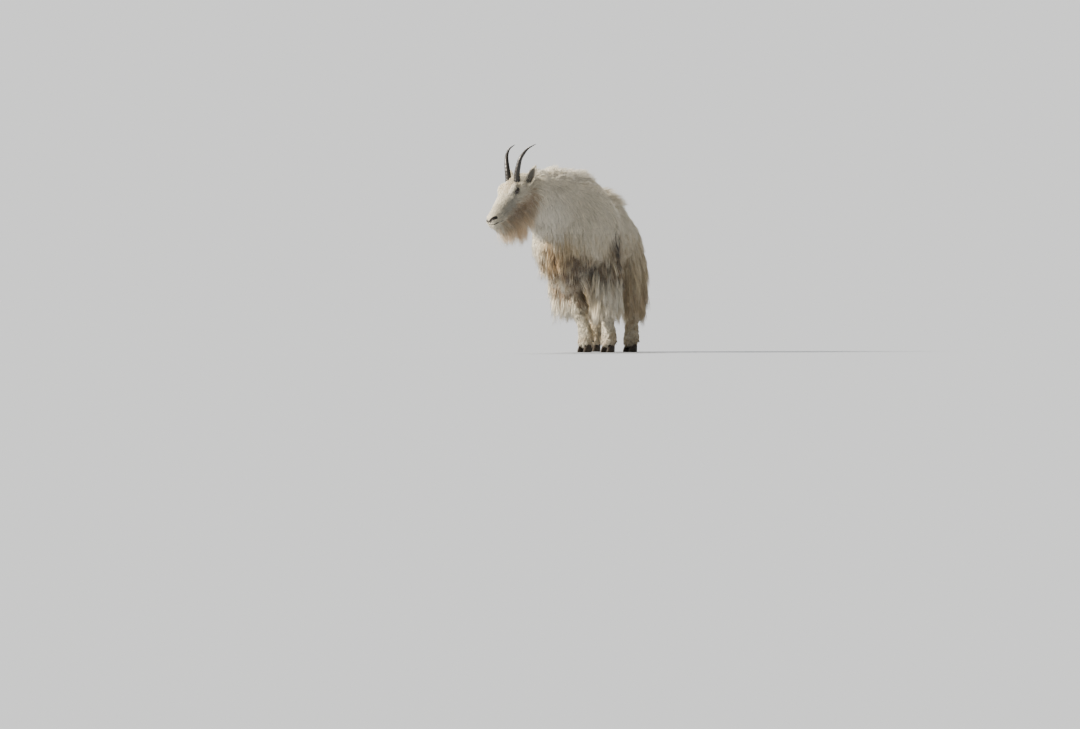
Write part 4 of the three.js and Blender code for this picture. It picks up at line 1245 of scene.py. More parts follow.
WHOLE = (-180.0, 180.0)
COAT_PARTS = (
    CoatPart("coat_crest", ("trunk",), (48, 132), (0, 5.3), 56000, 0.0024, 3, 0.018, 0.5, 0.11, 0.12),
    CoatPart("coat_loins", ("trunk",), (48, 132), (5.3, 11), 44000, 0.0026, 3, 0.020, 0.5, 0.12, 0.15),
    CoatPart("coat_flank_left_front", ("trunk",), (-45, 48), (0, 5.3), 47000, 0.0024, 3, 0.010, 0.25, 0.09, 0.10),
    CoatPart("coat_flank_left_rear", ("trunk",), (-45, 48), (5.3, 11), 46000, 0.0024, 3, 0.013, 0.35, 0.09, 0.1),
    CoatPart("coat_flank_right_front", ("trunk",), (132, 225), (0, 5.3), 47000, 0.0024, 3, 0.010, 0.25, 0.09, 0.10),
    CoatPart("coat_flank_right_rear", ("trunk",), (132, 225), (5.3, 11), 46000, 0.0024, 3, 0.013, 0.35, 0.09, 0.1),
    CoatPart("coat_belly", ("trunk",), (225, 315), (0, 11), 30000, 0.0032, 4, 0.026, 0.7, 0.09, 0.25),
    CoatPart("coat_mane", ("neck",), (48, 132), (0, 4), 50000, 0.0023, 3, 0.016, 0.45, 0.11, 0.12),
    CoatPart("coat_neck_left", ("neck",), (-60, 48), (0, 4), 50000, 0.0023, 3, 0.010, 0.25, 0.09, 0.10),
    CoatPart("coat_neck_right", ("neck",), (132, 240), (0, 4), 50000, 0.0023, 3, 0.010, 0.25, 0.09, 0.10),
    CoatPart("coat_throat", ("neck",), (240, 300), (0, 4), 34000, 0.0028, 4, 0.020, 0.5, 0.11, 0.15),
    CoatPart("coat_face", ("skull",), (-60, 240), (1.2, 10), 126000, 0.00135, 2, 0.006, 0.25, 0.14),
    CoatPart("coat_poll", ("skull",), (-60, 240), (0, 1.2), 80000, 0.0022, 3, 0.012, 0.4, 0.14),
    CoatPart("coat_beard", ("skull",), (232, 308), (0, 9.2), 190000, 0.0022, 5, 0.016, 0.65, 0.08, 0.14),
    CoatPart("coat_ears", ("ear_left", "ear_right"), WHOLE, (0, 4), 110000, 0.0013, 2, 0.006, 0.25),
    CoatPart("coat_tail", ("tail",), WHOLE, (0, 4), 44000, 0.0028, 4, 0.018, 0.7),
) + tuple(
    CoatPart(f"coat_{name}_long", (name,), WHOLE, (0, 4.6), 33000, 0.0030, 4, 0.024, 0.7, 0.08, 0.22)
    for name in LEG_NAMES
) + tuple(
    CoatPart(f"coat_{name}_short", (name,), WHOLE, (4.6, 10), 60000, 0.0019, 2, 0.018, 0.6, 0.24, 0.35)
    for name in LEG_NAMES
)


@dataclass
class Coat:
    """The whole coat, grown from the skin as tapered solid hairs."""

    skin: Skin
    seed: int = 20

    def __post_init__(self) -> None:
        """Read the skin's triangles once, and where each lies."""
        mesh = self.skin.piece.data
        mesh.calc_loop_triangles()
        corners = np.zeros(len(mesh.loop_triangles) * 3, np.int32)
        mesh.loop_triangles.foreach_get("vertices", corners)
        self.corners = corners.reshape(-1, 3)
        self.points = points_of(mesh)
        self.normals = normals_of(mesh)
        a, b, c = (self.points[self.corners[:, i]] for i in range(3))
        self.areas = np.linalg.norm(np.cross(b - a, c - a), axis=1) / 2
        self.owner, self.place, self.angle = self.skin.owners((a + b + c) / 3)
        self.names = list(self.skin.lofts)
        self.lie = CoatLie(self.skin.lofts)
        self.ground = Ground(self.points, self.normals)

    def chosen(self, part: CoatPart) -> Array:
        """The triangles on which a part of the coat grows."""
        owned = np.isin(self.owner, [self.names.index(name) for name in part.lofts])
        degrees = np.degrees(self.angle)
        low, high = part.arc
        turned = np.where(degrees < low, degrees + 360.0, degrees)
        inside = (turned >= low) & (turned < high)
        if part.arc == WHOLE:
            inside = np.ones(len(degrees), bool)
        along = (self.place >= part.stretch[0]) & (self.place <= part.stretch[1])
        return np.nonzero(owned & inside & along)[0]

    def roots(self, part: CoatPart, draw: np.random.Generator) -> tuple[Array, Array]:
        """Scatter roots over a part's triangles.

        Args:
            part: The part of the coat.
            draw: Source of random numbers.

        Returns:
            Places and outward directions of the roots.
        """
        chosen = self.chosen(part)
        total = self.areas[chosen].sum()
        count = int(total * part.density)
        if count == 0:
            return np.zeros((0, 3)), np.zeros((0, 3))
        steps = (np.arange(count) + draw.random(count)) / count * total
        triangle = chosen[
            np.minimum(np.searchsorted(np.cumsum(self.areas[chosen]), steps), len(chosen) - 1)
        ]
        first, second = np.sqrt(draw.random(count)), draw.random(count)
        shares = np.stack((1 - first, first * (1 - second), first * second), axis=1)[..., None]
        points = (self.points[self.corners[triangle]] * shares).sum(axis=1)
        normals = (self.normals[self.corners[triangle]] * shares).sum(axis=1)
        return points, unit(normals)

    def build(self, part: CoatPart, number: int, material: bpy.types.Material) -> bpy.types.Object | None:
        """Grow one part of the coat.

        Args:
            part: The part of the coat.
            number: Its number, which fixes its random draws.
            material: The hair's material.

        Returns:
            The finished object, or None where nothing grows.
        """
        draw = np.random.default_rng(self.seed + number)
        roots, normals = self.roots(part, draw)
        if len(roots) == 0:
            return None
        keep = bare_cover(roots) + self.skin.inner_ear(roots) * 1.2 < draw.uniform(0.05, 0.9, len(roots))
        roots, normals = roots[keep], normals[keep]
        lies, shapes = self.lie.at(roots)
        hairs = Hairs(part, self.ground, roots, normals, lies, shapes, draw)
        owner, place, angle = self.skin.owners(roots)
        return hairs.build(self.skin.unwrap(owner, place, angle), material)


@dataclass
class Ground:
    """The skin's points and outward directions, which keep hairs above the skin."""

    points: Array
    normals: Array

    def __post_init__(self) -> None:
        """Sort the points for quick finding."""
        self.tree = KDTree(len(self.points))
        for number, point in enumerate(self.points.tolist()):
            self.tree.insert(point, number)
        self.tree.balance()

    def cleared(self, places: Array, least: Array) -> Array:
        """Lift places that are under the skin or too close to it.

        Args:
            places: Points of hairs.
            least: The least height of each above the skin.

        Returns:
            The places, lifted.
        """
        find = self.tree.find
        near = np.fromiter((find(place)[1] for place in places.tolist()), int, len(places))
        height = np.sum((places - self.points[near]) * self.normals[near], axis=1)
        return places + self.normals[near] * np.clip(least - height, 0.0, 0.08)[:, None]


@dataclass
class Hairs:
    """A bundle of tapered hairs that gather into locks."""

    part: CoatPart
    ground: Ground
    roots: Array
    normals: Array
    lies: Array
    shapes: Array
    draw: np.random.Generator

    def leaders(self) -> Array:
        """The number of the hair that leads each hair's lock."""
        count = len(self.roots)
        area = count / self.part.density
        chosen = self.draw.choice(count, max(1, min(count, int(area / self.part.lock**2))), replace=False)
        tree = KDTree(len(chosen))
        for number, leader in enumerate(chosen):
            tree.insert(Vector(self.roots[leader]), number)
        tree.balance()
        return chosen[[tree.find(Vector(root))[1] for root in self.roots]]

    def paths(self, leaders: Array) -> Array:
        """The middle line of each hair.

        Args:
            leaders: The number of the hair that leads each hair's lock.

        Returns:
            For each hair, one point for each ring and one for the tip.
        """
        count, part = len(self.roots), self.part
        ragged = 1.0 + self.draw.uniform(-1.0, 1.0, count)[leaders] * part.ragged
        length = self.shapes[:, 0] * self.draw.uniform(0.75, 1.10, count) * ragged
        lift = self.shapes[:, 1] * self.draw.uniform(0.5, 1.5, count)
        fall = np.clip(self.shapes[:, 2], 0.0, 1.0)[:, None]
        lies = self.lies + self.draw.normal(size=(count, 3)) * part.untidy
        lies += self.draw.normal(size=(count, 3))[leaders] * part.untidy * 1.2
        lies += waves(self.roots, 0.06, 7)[:, None] * np.cross(self.normals, self.lies) * 0.16
        flat = unit(lies - self.normals * np.sum(lies * self.normals, axis=1)[:, None])
        start = unit(flat + self.normals * lift[:, None])
        end = flat * (1 - fall) + (DOWN + self.draw.normal(size=(count, 3)) * part.untidy * 0.5) * fall
        inward = np.minimum(np.sum(end * self.normals, axis=1), 0.0) * 0.9
        end = unit(end + self.normals * (lift * 0.35 - inward)[:, None])
        steps = part.rings
        points = [self.roots - self.normals * np.minimum(0.003, length * 0.06)[:, None]]
        for i in range(steps):
            heading = unit(start + (end - start) * ((i + 0.5) / steps))
            points.append(points[-1] + heading * (length / steps)[:, None])
        led = self.gathered(np.stack(points, axis=1), leaders)
        least = length[:, None] * np.linspace(0.0, 0.16, steps + 1)[None, 1:] + 0.0006
        least = least * self.draw.uniform(0.4, 1.6, count)[:, None]
        led[:, 1:] = self.ground.cleared(led[:, 1:].reshape(-1, 3), least.ravel()).reshape(count, steps, 3)
        return led

    def gathered(self, points: Array, leaders: Array) -> Array:
        """Draw the hairs together towards the tips of their locks.

        Args:
            points: The middle lines of the hairs.
            leaders: The number of the hair that leads each hair's lock.

        Returns:
            The middle lines, gathered.
        """
        share = np.linspace(0.0, 1.0, points.shape[1])[None, :, None] ** 1.3 * self.part.gather
        share = share * self.draw.uniform(0.6, 1.2, len(points))[:, None, None]
        led = points[leaders] - points
        apart = np.linalg.norm(led[:, :1], axis=2, keepdims=True)
        close = np.clip(1.6 - apart / (self.part.lock * 2.0), 0.0, 1.0)
        return points + led * np.clip(share, 0.0, 0.95) * close

    def tones(self, points: Array, leaders: Array) -> Array:
        """The colour of each ring and tip: each lock takes its markings from a little higher or lower.

        Args:
            points: The middle lines of the hairs.
            leaders: The number of the hair that leads each hair's lock.

        Returns:
            Linear red, green and blue for each ring and tip of each hair.
        """
        count, knots = points.shape[:2]
        shift = self.draw.normal(size=(count, 3))[leaders] * self.part.lock * (0.6, 0.6, 1.7)
        shift += self.draw.normal(size=(count, 3)) * self.part.lock * 0.25
        places = points * 0.7 + self.roots[:, None, :] * 0.3 + shift[:, None, :]
        colour = markings(places.reshape(-1, 3)).reshape(count, knots, 3)
        bright = 1.0 + self.draw.normal(size=count)[leaders] * 0.055 + self.draw.normal(size=count) * 0.05
        return np.clip(colour * bright[:, None, None], 0.004, 1.0)

    def build(self, flat: Array, material: bpy.types.Material) -> bpy.types.Object:
        """Make the mesh of the bundle.

        Args:
            flat: Place of each root on the flat map of the skin.
            material: The hair's material.

        Returns:
            The finished object.
        """
        leaders = self.leaders()
        points = self.paths(leaders)
        count = len(points)
        rings = self.part.rings
        heading = unit(np.diff(points, axis=1))
        across = unit(np.cross(heading, self.normals[:, None, :] + DOWN * 1e-3))
        roll = self.draw.uniform(-0.7, 0.7, count)[:, None, None]
        out = np.cross(across, heading)
        across, out = across * np.cos(roll) + out * np.sin(roll), out * np.cos(roll) - across * np.sin(roll)
        taper = np.array([0.75, 1.0, 0.85, 0.6, 0.4])[:rings]
        width = self.part.width * self.draw.uniform(0.6, 1.3, count)[:, None] * taper[None]
        half, deep = (width * 0.5)[..., None], (width * 0.26)[..., None]
        middle = points[:, :rings]
        left = middle + across * half - out * deep
        top = middle + out * deep
        right = middle - across * half - out * deep
        tube = np.stack((left, top, right), axis=2).reshape(count, rings * 3, 3)
        vertices = np.concatenate((tube, points[:, rings:]), axis=1)
        size = rings * 3 + 1
        faces = self.faces(rings)
        mesh = hair_mesh(self.part.name, vertices.reshape(-1, 3), faces, count, size)
        tones = self.tones(points, leaders)
        colour = np.concatenate((np.repeat(tones[:, :rings], 3, axis=1), tones[:, rings:]), axis=1)
        along = np.append(np.repeat(np.arange(rings) / rings, 3), 1.0)
        paint(mesh, colour.reshape(-1, 3), np.tile(along, count))
        self.write_map(mesh, faces, flat, along)
        mesh.materials.append(material)
        return new_object(self.part.name, mesh)

    def faces(self, rings: int) -> list[tuple[int, ...]]:
        """The faces of one hair with this many rings."""
        faces: list[tuple[int, ...]] = [(2, 1, 0)]
        for ring in range(rings - 1):
            for i in range(3):
                a, b = ring * 3 + i, ring * 3 + (i + 1) % 3
                faces.append((a, b, b + 3, a + 3))
        last = (rings - 1) * 3
        for i in range(3):
            faces.append((last + i, last + (i + 1) % 3, rings * 3))
        return faces

    def write_map(
        self, mesh: bpy.types.Mesh, faces: list[tuple[int, ...]], flat: Array, along: Array
    ) -> None:
        """Give each hair a small patch at its root's place on the flat map of the skin."""
        patch = 0.003
        corner = np.concatenate([np.array(face) for face in faces])
        aside = np.where(along[corner] >= 1.0, 0.5, (corner % 3) / 2.0)
        own = np.stack((aside, along[corner]), axis=1) * patch
        layer = mesh.uv_layers.new(name="OFBake")
        places = flat[:, None, :] - patch / 2 + own[None]
        layer.data.foreach_set("uv", places.astype(np.float32).ravel())


def hair_mesh(
    name: str, vertices: Array, faces: list[tuple[int, ...]], count: int, size: int
) -> bpy.types.Mesh:
    """Build one mesh out of many hairs alike.

    Args:
        name: Name of the mesh.
        vertices: Points of all hairs, one hair after another.
        faces: Faces of one hair.
        count: Number of hairs.
        size: Points of one hair.

    Returns:
        The mesh.
    """
    corner = np.concatenate([np.array(face) for face in faces])
    totals = np.array([len(face) for face in faces])
    offsets = np.arange(count) * size
    loops = (corner[None] + offsets[:, None]).ravel()
    sizes = np.tile(totals, count)
    starts = np.concatenate(([0], np.cumsum(sizes)[:-1]))
    mesh = bpy.data.meshes.new(name)
    mesh.vertices.add(len(vertices))
    mesh.vertices.foreach_set("co", vertices.astype(np.float32).ravel())
    mesh.loops.add(len(loops))
    mesh.loops.foreach_set("vertex_index", loops.astype(np.int32))
    mesh.polygons.add(len(sizes))
    mesh.polygons.foreach_set("loop_start", starts.astype(np.int32))
    mesh.polygons.foreach_set("use_smooth", np.ones(len(sizes), bool))
    mesh.update(calc_edges=True)
    return mesh


class Nodes:
    """Short hands for building a node tree."""

    def __init__(self, tree: bpy.types.NodeTree) -> None:
        """Start with an empty tree."""
        self.tree = tree
        tree.nodes.clear()

    def add(self, kind: str, **inputs: object) -> bpy.types.Node:
        """Add a node, set its properties and link or set its inputs.

        Args:
            kind: The node's type.
            inputs: Values by input name, with underscores for spaces; a socket is linked. Names in
                lower case are properties of the node.

        Returns:
            The node.
        """
        node = self.tree.nodes.new(kind)
        for name, value in inputs.items():
            if name[0].islower():
                setattr(node, name, value)
        for name, value in inputs.items():
            if name[0].islower():
                continue
            key = int(name[1:]) if name[0] == "I" and name[1:].isdigit() else name.replace("_", " ")
            socket = node.inputs[key]
            if isinstance(value, bpy.types.NodeSocket):
                self.tree.links.new(value, socket)
            else:
                socket.default_value = value
        return node


def fibre_group() -> bpy.types.NodeTree:
    """The shared look of hair: streaks along it, a darker root that is painted shade deep in the coat, and a paler
    tip.

    Returns:
        A node group with inputs Tone, Along, Scale and Streak, and outputs Colour and Height.
    """
    tree = bpy.data.node_groups.new("HairFibre", "ShaderNodeTree")
    face = tree.interface
    face.new_socket("Tone", in_out="INPUT", socket_type="NodeSocketColor")
    for name, value in (("Along", 0.5), ("Scale", 300.0), ("Streak", 0.2), ("Root", 0.7), ("Tip", 1.1)):
        socket = face.new_socket(name, in_out="INPUT", socket_type="NodeSocketFloat")
        socket.default_value = value
    face.new_socket("Colour", in_out="OUTPUT", socket_type="NodeSocketColor")
    face.new_socket("Height", in_out="OUTPUT", socket_type="NodeSocketFloat")
    nodes = Nodes(tree)
    given = nodes.add("NodeGroupInput").outputs
    place = nodes.add("ShaderNodeTexCoord").outputs["Object"]
    noise = nodes.add("ShaderNodeTexNoise", Vector=place, Scale=given["Scale"], Detail=4.0, Roughness=0.6)
    spread = nodes.add("ShaderNodeMath", operation="SUBTRACT", I0=noise.outputs["Fac"], I1=0.5)
    spread = nodes.add("ShaderNodeMath", operation="MULTIPLY", I0=spread.outputs[0], I1=given["Streak"])
    shade = nodes.add("ShaderNodeMapRange", Value=given["Along"], To_Min=given["Root"], To_Max=given["Tip"])
    shade = nodes.add("ShaderNodeMath", operation="ADD", I0=shade.outputs[0], I1=spread.outputs[0])
    grey = nodes.add("ShaderNodeCombineColor", Red=shade.outputs[0], Green=shade.outputs[0], Blue=shade.outputs[0])
    mixed = nodes.add(
        "ShaderNodeMix", data_type="RGBA", blend_type="MULTIPLY", I0=1.0, I6=given["Tone"], I7=grey.outputs[0]
    )
    nodes.add("NodeGroupOutput", Colour=mixed.outputs[2], Height=noise.outputs["Fac"])
    return tree


@dataclass(frozen=True)
class HairFinish:
    """A finish of skin or hair."""

    name: str
    root: float
    tip: float
    streak: float
    scale: float
    roughness: float
    sheen: float
    bump: float

    def material(self, fibre: bpy.types.NodeTree) -> bpy.types.Material:
        """Build the finish.

        Args:
            fibre: The shared look of hair.

        Returns:
            The material.
        """
        made = bpy.data.materials.new(self.name)
        made.use_nodes = True
        nodes = Nodes(made.node_tree)
        tone = nodes.add("ShaderNodeAttribute", attribute_name="Tone")
        hair = nodes.add(
            "ShaderNodeGroup", node_tree=fibre, Tone=tone.outputs["Color"], Along=tone.outputs["Alpha"],
            Scale=self.scale, Streak=self.streak, Root=self.root, Tip=self.tip,
        )
        bare = nodes.add("ShaderNodeAttribute", attribute_name="Bare")
        rough = nodes.add(
            "ShaderNodeMapRange", Value=bare.outputs["Fac"], To_Min=self.roughness, To_Max=0.38
        )
        bump = nodes.add(
            "ShaderNodeBump", Strength=self.bump, Distance=0.002, Height=hair.outputs["Height"]
        )
        shader = nodes.add(
            "ShaderNodeBsdfPrincipled", Base_Color=hair.outputs["Colour"], Roughness=rough.outputs[0],
            Sheen_Weight=self.sheen, Sheen_Roughness=0.5, Normal=bump.outputs[0],
        )
        shader.inputs["Specular IOR Level"].default_value = 0.25
        nodes.add("ShaderNodeOutputMaterial", Surface=shader.outputs[0])
        return made


@dataclass(frozen=True)
class HornFinish:
    """Dark horn: streaked along its length, glossy where it is smooth and dull in its grooves."""

    name: str
    dark: tuple[float, float, float]
    pale: tuple[float, float, float]
    roughness: float
    grain: tuple[float, float, float]
    coat: float

    def material(self) -> bpy.types.Material:
        """Build the finish."""
        made = bpy.data.materials.new(self.name)
        made.use_nodes = True
        nodes = Nodes(made.node_tree)
        place = nodes.add("ShaderNodeTexCoord").outputs["Object"]
        stretched = nodes.add("ShaderNodeMapping", Vector=place, Scale=self.grain)
        streaks = nodes.add(
            "ShaderNodeTexNoise", Vector=stretched.outputs[0], Scale=1.0, Detail=6.0, Roughness=0.65
        )
        ramp = nodes.add("ShaderNodeValToRGB", Fac=streaks.outputs["Fac"])
        ramp.color_ramp.elements[0].position = 0.42
        ramp.color_ramp.elements[0].color = (*self.dark, 1.0)
        ramp.color_ramp.elements[1].position = 0.78
        ramp.color_ramp.elements[1].color = (*self.pale, 1.0)
        rough = nodes.add(
            "ShaderNodeMapRange", Value=streaks.outputs["Fac"],
            To_Min=self.roughness - 0.12, To_Max=self.roughness + 0.2
        )
        bump = nodes.add("ShaderNodeBump", Strength=0.35, Distance=0.0008, Height=streaks.outputs["Fac"])
        shader = nodes.add(
            "ShaderNodeBsdfPrincipled", Base_Color=ramp.outputs[0],
            Roughness=rough.outputs[0], Normal=bump.outputs[0]
        )
        shader.inputs["Coat Weight"].default_value = self.coat
        shader.inputs["Coat Roughness"].default_value = 0.2
        nodes.add("ShaderNodeOutputMaterial", Surface=shader.outputs[0])
        return made


@dataclass
class Horn:
    """A slim black horn that rises, sweeps back and spreads, with growth rings towards its base."""

    side: float
    rise: float = 0.190
    sweep: float = 0.094
    spread: float = 0.052
    radius: float = 0.018
    base: tuple[float, float, float] = (0.060, 0.035, 0.027)

    def path(self) -> Array:
        """Knots of the horn's middle line, from inside the skull to the tip."""
        table = (
            (-0.24, 0, -0.06), (0, 0, 0), (0.18, -0.02, 0.08), (0.36, 0, 0.23), (0.57, 0.06, 0.42),
            (0.735, 0.23, 0.65), (0.88, 0.5, 0.83), (1, 1, 1),
        )
        root = HEAD.at(self.base[0], self.side * self.base[1], self.base[2])
        knots = [
            root - DOWN * (rise * self.rise) - HEAD.level * (sweep * self.sweep)
            + HEAD.left * (self.side * spread * self.spread)
            for rise, sweep, spread in table
        ]
        return np.array(knots)

    def build(self, name: str, tree: bpy.types.NodeTree, material: bpy.types.Material) -> bpy.types.Object:
        """Sweep the horn along its path with the node tree.

        Args:
            name: Name of the piece.
            tree: The geometry tree that sweeps a horn.
            material: The horn's material.

        Returns:
            The finished object.
        """
        knots = self.path()
        line = spline(knots, np.linspace(0, len(knots) - 1, 90))
        mesh = bpy.data.meshes.new(name)
        mesh.from_pydata(line.tolist(), [(i, i + 1) for i in range(len(line) - 1)], [])
        made = new_object(name, mesh)
        modifier = made.modifiers.new("sweep", "NODES")
        modifier.node_group = tree
        values = {"Radius": self.radius, "Rings": 15.0, "Ring Depth": 0.00035, "Material": material}
        for item in tree.interface.items_tree:
            if item.item_type == "SOCKET" and item.in_out == "INPUT" and item.name in values:
                modifier[item.identifier] = values[item.name]
        apply_modifiers(made)
        made.data.polygons.foreach_set("use_smooth", np.ones(len(made.data.polygons), bool))
        return made


def horn_tree() -> bpy.types.NodeTree:
    """The geometry tree that sweeps a ringed, tapered horn along an edge line.

    Returns:
        A tree with inputs Geometry, Radius, Rings, Ring Depth and Material.
    """
    tree = bpy.data.node_groups.new("SweepHorn", "GeometryNodeTree")
    face = tree.interface
    face.new_socket("Geometry", in_out="INPUT", socket_type="NodeSocketGeometry")
    for name, value in (("Radius", 0.018), ("Rings", 15.0), ("Ring Depth", 0.001)):
        face.new_socket(name, in_out="INPUT", socket_type="NodeSocketFloat").default_value = value
    face.new_socket("Material", in_out="INPUT", socket_type="NodeSocketMaterial")
    face.new_socket("Geometry", in_out="OUTPUT", socket_type="NodeSocketGeometry")
    nodes = Nodes(tree)
    given = nodes.add("NodeGroupInput").outputs
    curve = nodes.add("GeometryNodeMeshToCurve", Mesh=given["Geometry"])
    even = nodes.add("GeometryNodeResampleCurve", Curve=curve.outputs[0], Count=260)
    along = nodes.add("GeometryNodeSplineParameter").outputs["Factor"]
    taper = nodes.add("ShaderNodeMath", operation="POWER", I0=along, I1=1.35)
    taper = nodes.add("ShaderNodeMath", operation="SUBTRACT", I0=1.0, I1=taper.outputs[0])
    radius = nodes.add("ShaderNodeMath", operation="MULTIPLY_ADD", I0=taper.outputs[0], I1=given["Radius"], I2=0.0012)
    crowd = nodes.add("ShaderNodeMath", operation="POWER", I0=along, I1=0.75)
    turns = nodes.add("ShaderNodeMath", operation="MULTIPLY", I0=crowd.outputs[0], I1=given["Rings"])
    turns = nodes.add("ShaderNodeMath", operation="MULTIPLY", I0=turns.outputs[0], I1=math.tau)
    wave = nodes.add("ShaderNodeMath", operation="SINE", I0=turns.outputs[0])
    fade = nodes.add("ShaderNodeMapRange", Value=along, From_Min=0.25, From_Max=0.75, To_Min=1.0, To_Max=0.0)
    ripple = nodes.add("ShaderNodeMath", operation="MULTIPLY", I0=wave.outputs[0], I1=given["Ring Depth"])
    ripple = nodes.add("ShaderNodeMath", operation="MULTIPLY", I0=ripple.outputs[0], I1=fade.outputs[0])
    radius = nodes.add("ShaderNodeMath", operation="ADD", I0=radius.outputs[0], I1=ripple.outputs[0])
    ring = nodes.add("GeometryNodeCurvePrimitiveCircle", mode="RADIUS", Resolution=32, Radius=1.0)
    sized = nodes.add("GeometryNodeSetCurveRadius", Curve=even.outputs[0], Radius=radius.outputs[0])
    swept = nodes.add("GeometryNodeCurveToMesh", Curve=sized.outputs[0], Profile_Curve=ring.outputs[0], Fill_Caps=True)
    if "Scale" in swept.inputs:
        tree.links.new(radius.outputs[0], swept.inputs["Scale"])
    whole = nodes.add("GeometryNodeRealizeInstances", Geometry=swept.outputs[0])
    dressed = nodes.add("GeometryNodeSetMaterial", Geometry=whole.outputs[0], Material=given["Material"])
    nodes.add("NodeGroupOutput", Geometry=dressed.outputs[0])
    return tree


@dataclass
class Hoof:
    """One claw of a hoof: a sloping wall with growth lines, a rounded heel and a flat sole."""

    leg: str
    foot: tuple[float, float]
    side: float

    def build(self, name: str, material: bpy.types.Material) -> bpy.types.Object:
        """Build the claw.

        Args:
            name: Name of the piece.
            material: The hoof's material.

        Returns:
            The finished object.
        """
        x = SHIFT[0] + self.foot[0] + self.side * (CLAW_WIDTH / 2 + 0.0035)
        y = SHIFT[1] + self.foot[1]
        knots = np.array((
            (0.0, 0.94, -0.006), (0.0012, 1.0, -0.006), (0.012, 1.01, -0.004), (0.028, 0.90, 0.002),
            (CLAW_HEIGHT, 0.76, 0.009), (CLAW_HEIGHT + 0.006, 0.55, 0.011),
        ))
        rows, columns = 36, 40
        points = []
        for place in np.linspace(0, len(knots) - 1, rows):
            z, share, shift = spline(knots, np.array([place]))[0]
            line = 1.0 + 0.012 * math.sin(z * 1500.0) * min(1.0, z / 0.004)
            middle = np.array((x + self.side * (1 - share) * -0.004, y + shift, max(z, 0.0)))
            for column in range(columns):
                angle = column * math.tau / columns
                power = 2.6 if math.sin(angle) > 0 else 1.6
                aside = float(signed_power(np.array(math.cos(angle)), 2 / power))
                ahead = float(signed_power(np.array(math.sin(angle)), 2 / power))
                flat = 0.72 if aside * self.side < 0 else 1.0
                points.append(middle + (
                    aside * flat * CLAW_WIDTH / 2 * share * line,
                    ahead * CLAW_LENGTH / 2 * share * line,
                    0.0
                ))
        points.append(np.array((x, y - 0.006, 0.0)))
        points.append(np.array((x, y + 0.011, CLAW_HEIGHT + 0.010)))
        faces: list[tuple[int, ...]] = []
        for row in range(rows - 1):
            for i in range(columns):
                a, b = row * columns + i, row * columns + (i + 1) % columns
                faces.append((a, b, b + columns, a + columns))
        last = (rows - 1) * columns
        for i in range(columns):
            j = (i + 1) % columns
            faces += [(rows * columns, j, i), (rows * columns + 1, last + i, last + j)]
        mesh = mesh_of(name, np.array(points), faces)
        mesh.materials.append(material)
        return new_object(name, mesh)


@dataclass
class Dewclaw:
    """A small blunt claw at the back of a fetlock."""

    foot: tuple[float, float]
    side: float
    half: float = 0.0085
    length: float = 0.034
    height: float = 0.078

    def build(self, name: str, material: bpy.types.Material) -> bpy.types.Object:
        """Build the claw.

        Args:
            name: Name of the piece.
            material: The hoof's material.

        Returns:
            The finished object.
        """
        start = SHIFT + (self.foot[0] + self.side * 0.017, self.foot[1] + 0.034, self.height)
        way = unit(np.array((self.side * 0.20, 0.72, -0.66)))
        across = unit(np.cross(way, DOWN))
        upright = np.cross(across, way)
        rows = []
        for share, size in ((0.0, 0.9), (0.3, 1.0), (0.6, 0.9), (0.85, 0.62), (1.0, 0.25)):
            half = self.half * size
            rows.append({
                "middle": start + way * self.length * share,
                "half": across * half, "up": upright * half * 0.8,
            })
        points, faces = make_loft(name, rows).surface(6, 20)
        mesh = mesh_of(name, points, faces)
        mesh.materials.append(material)
        return new_object(name, mesh)


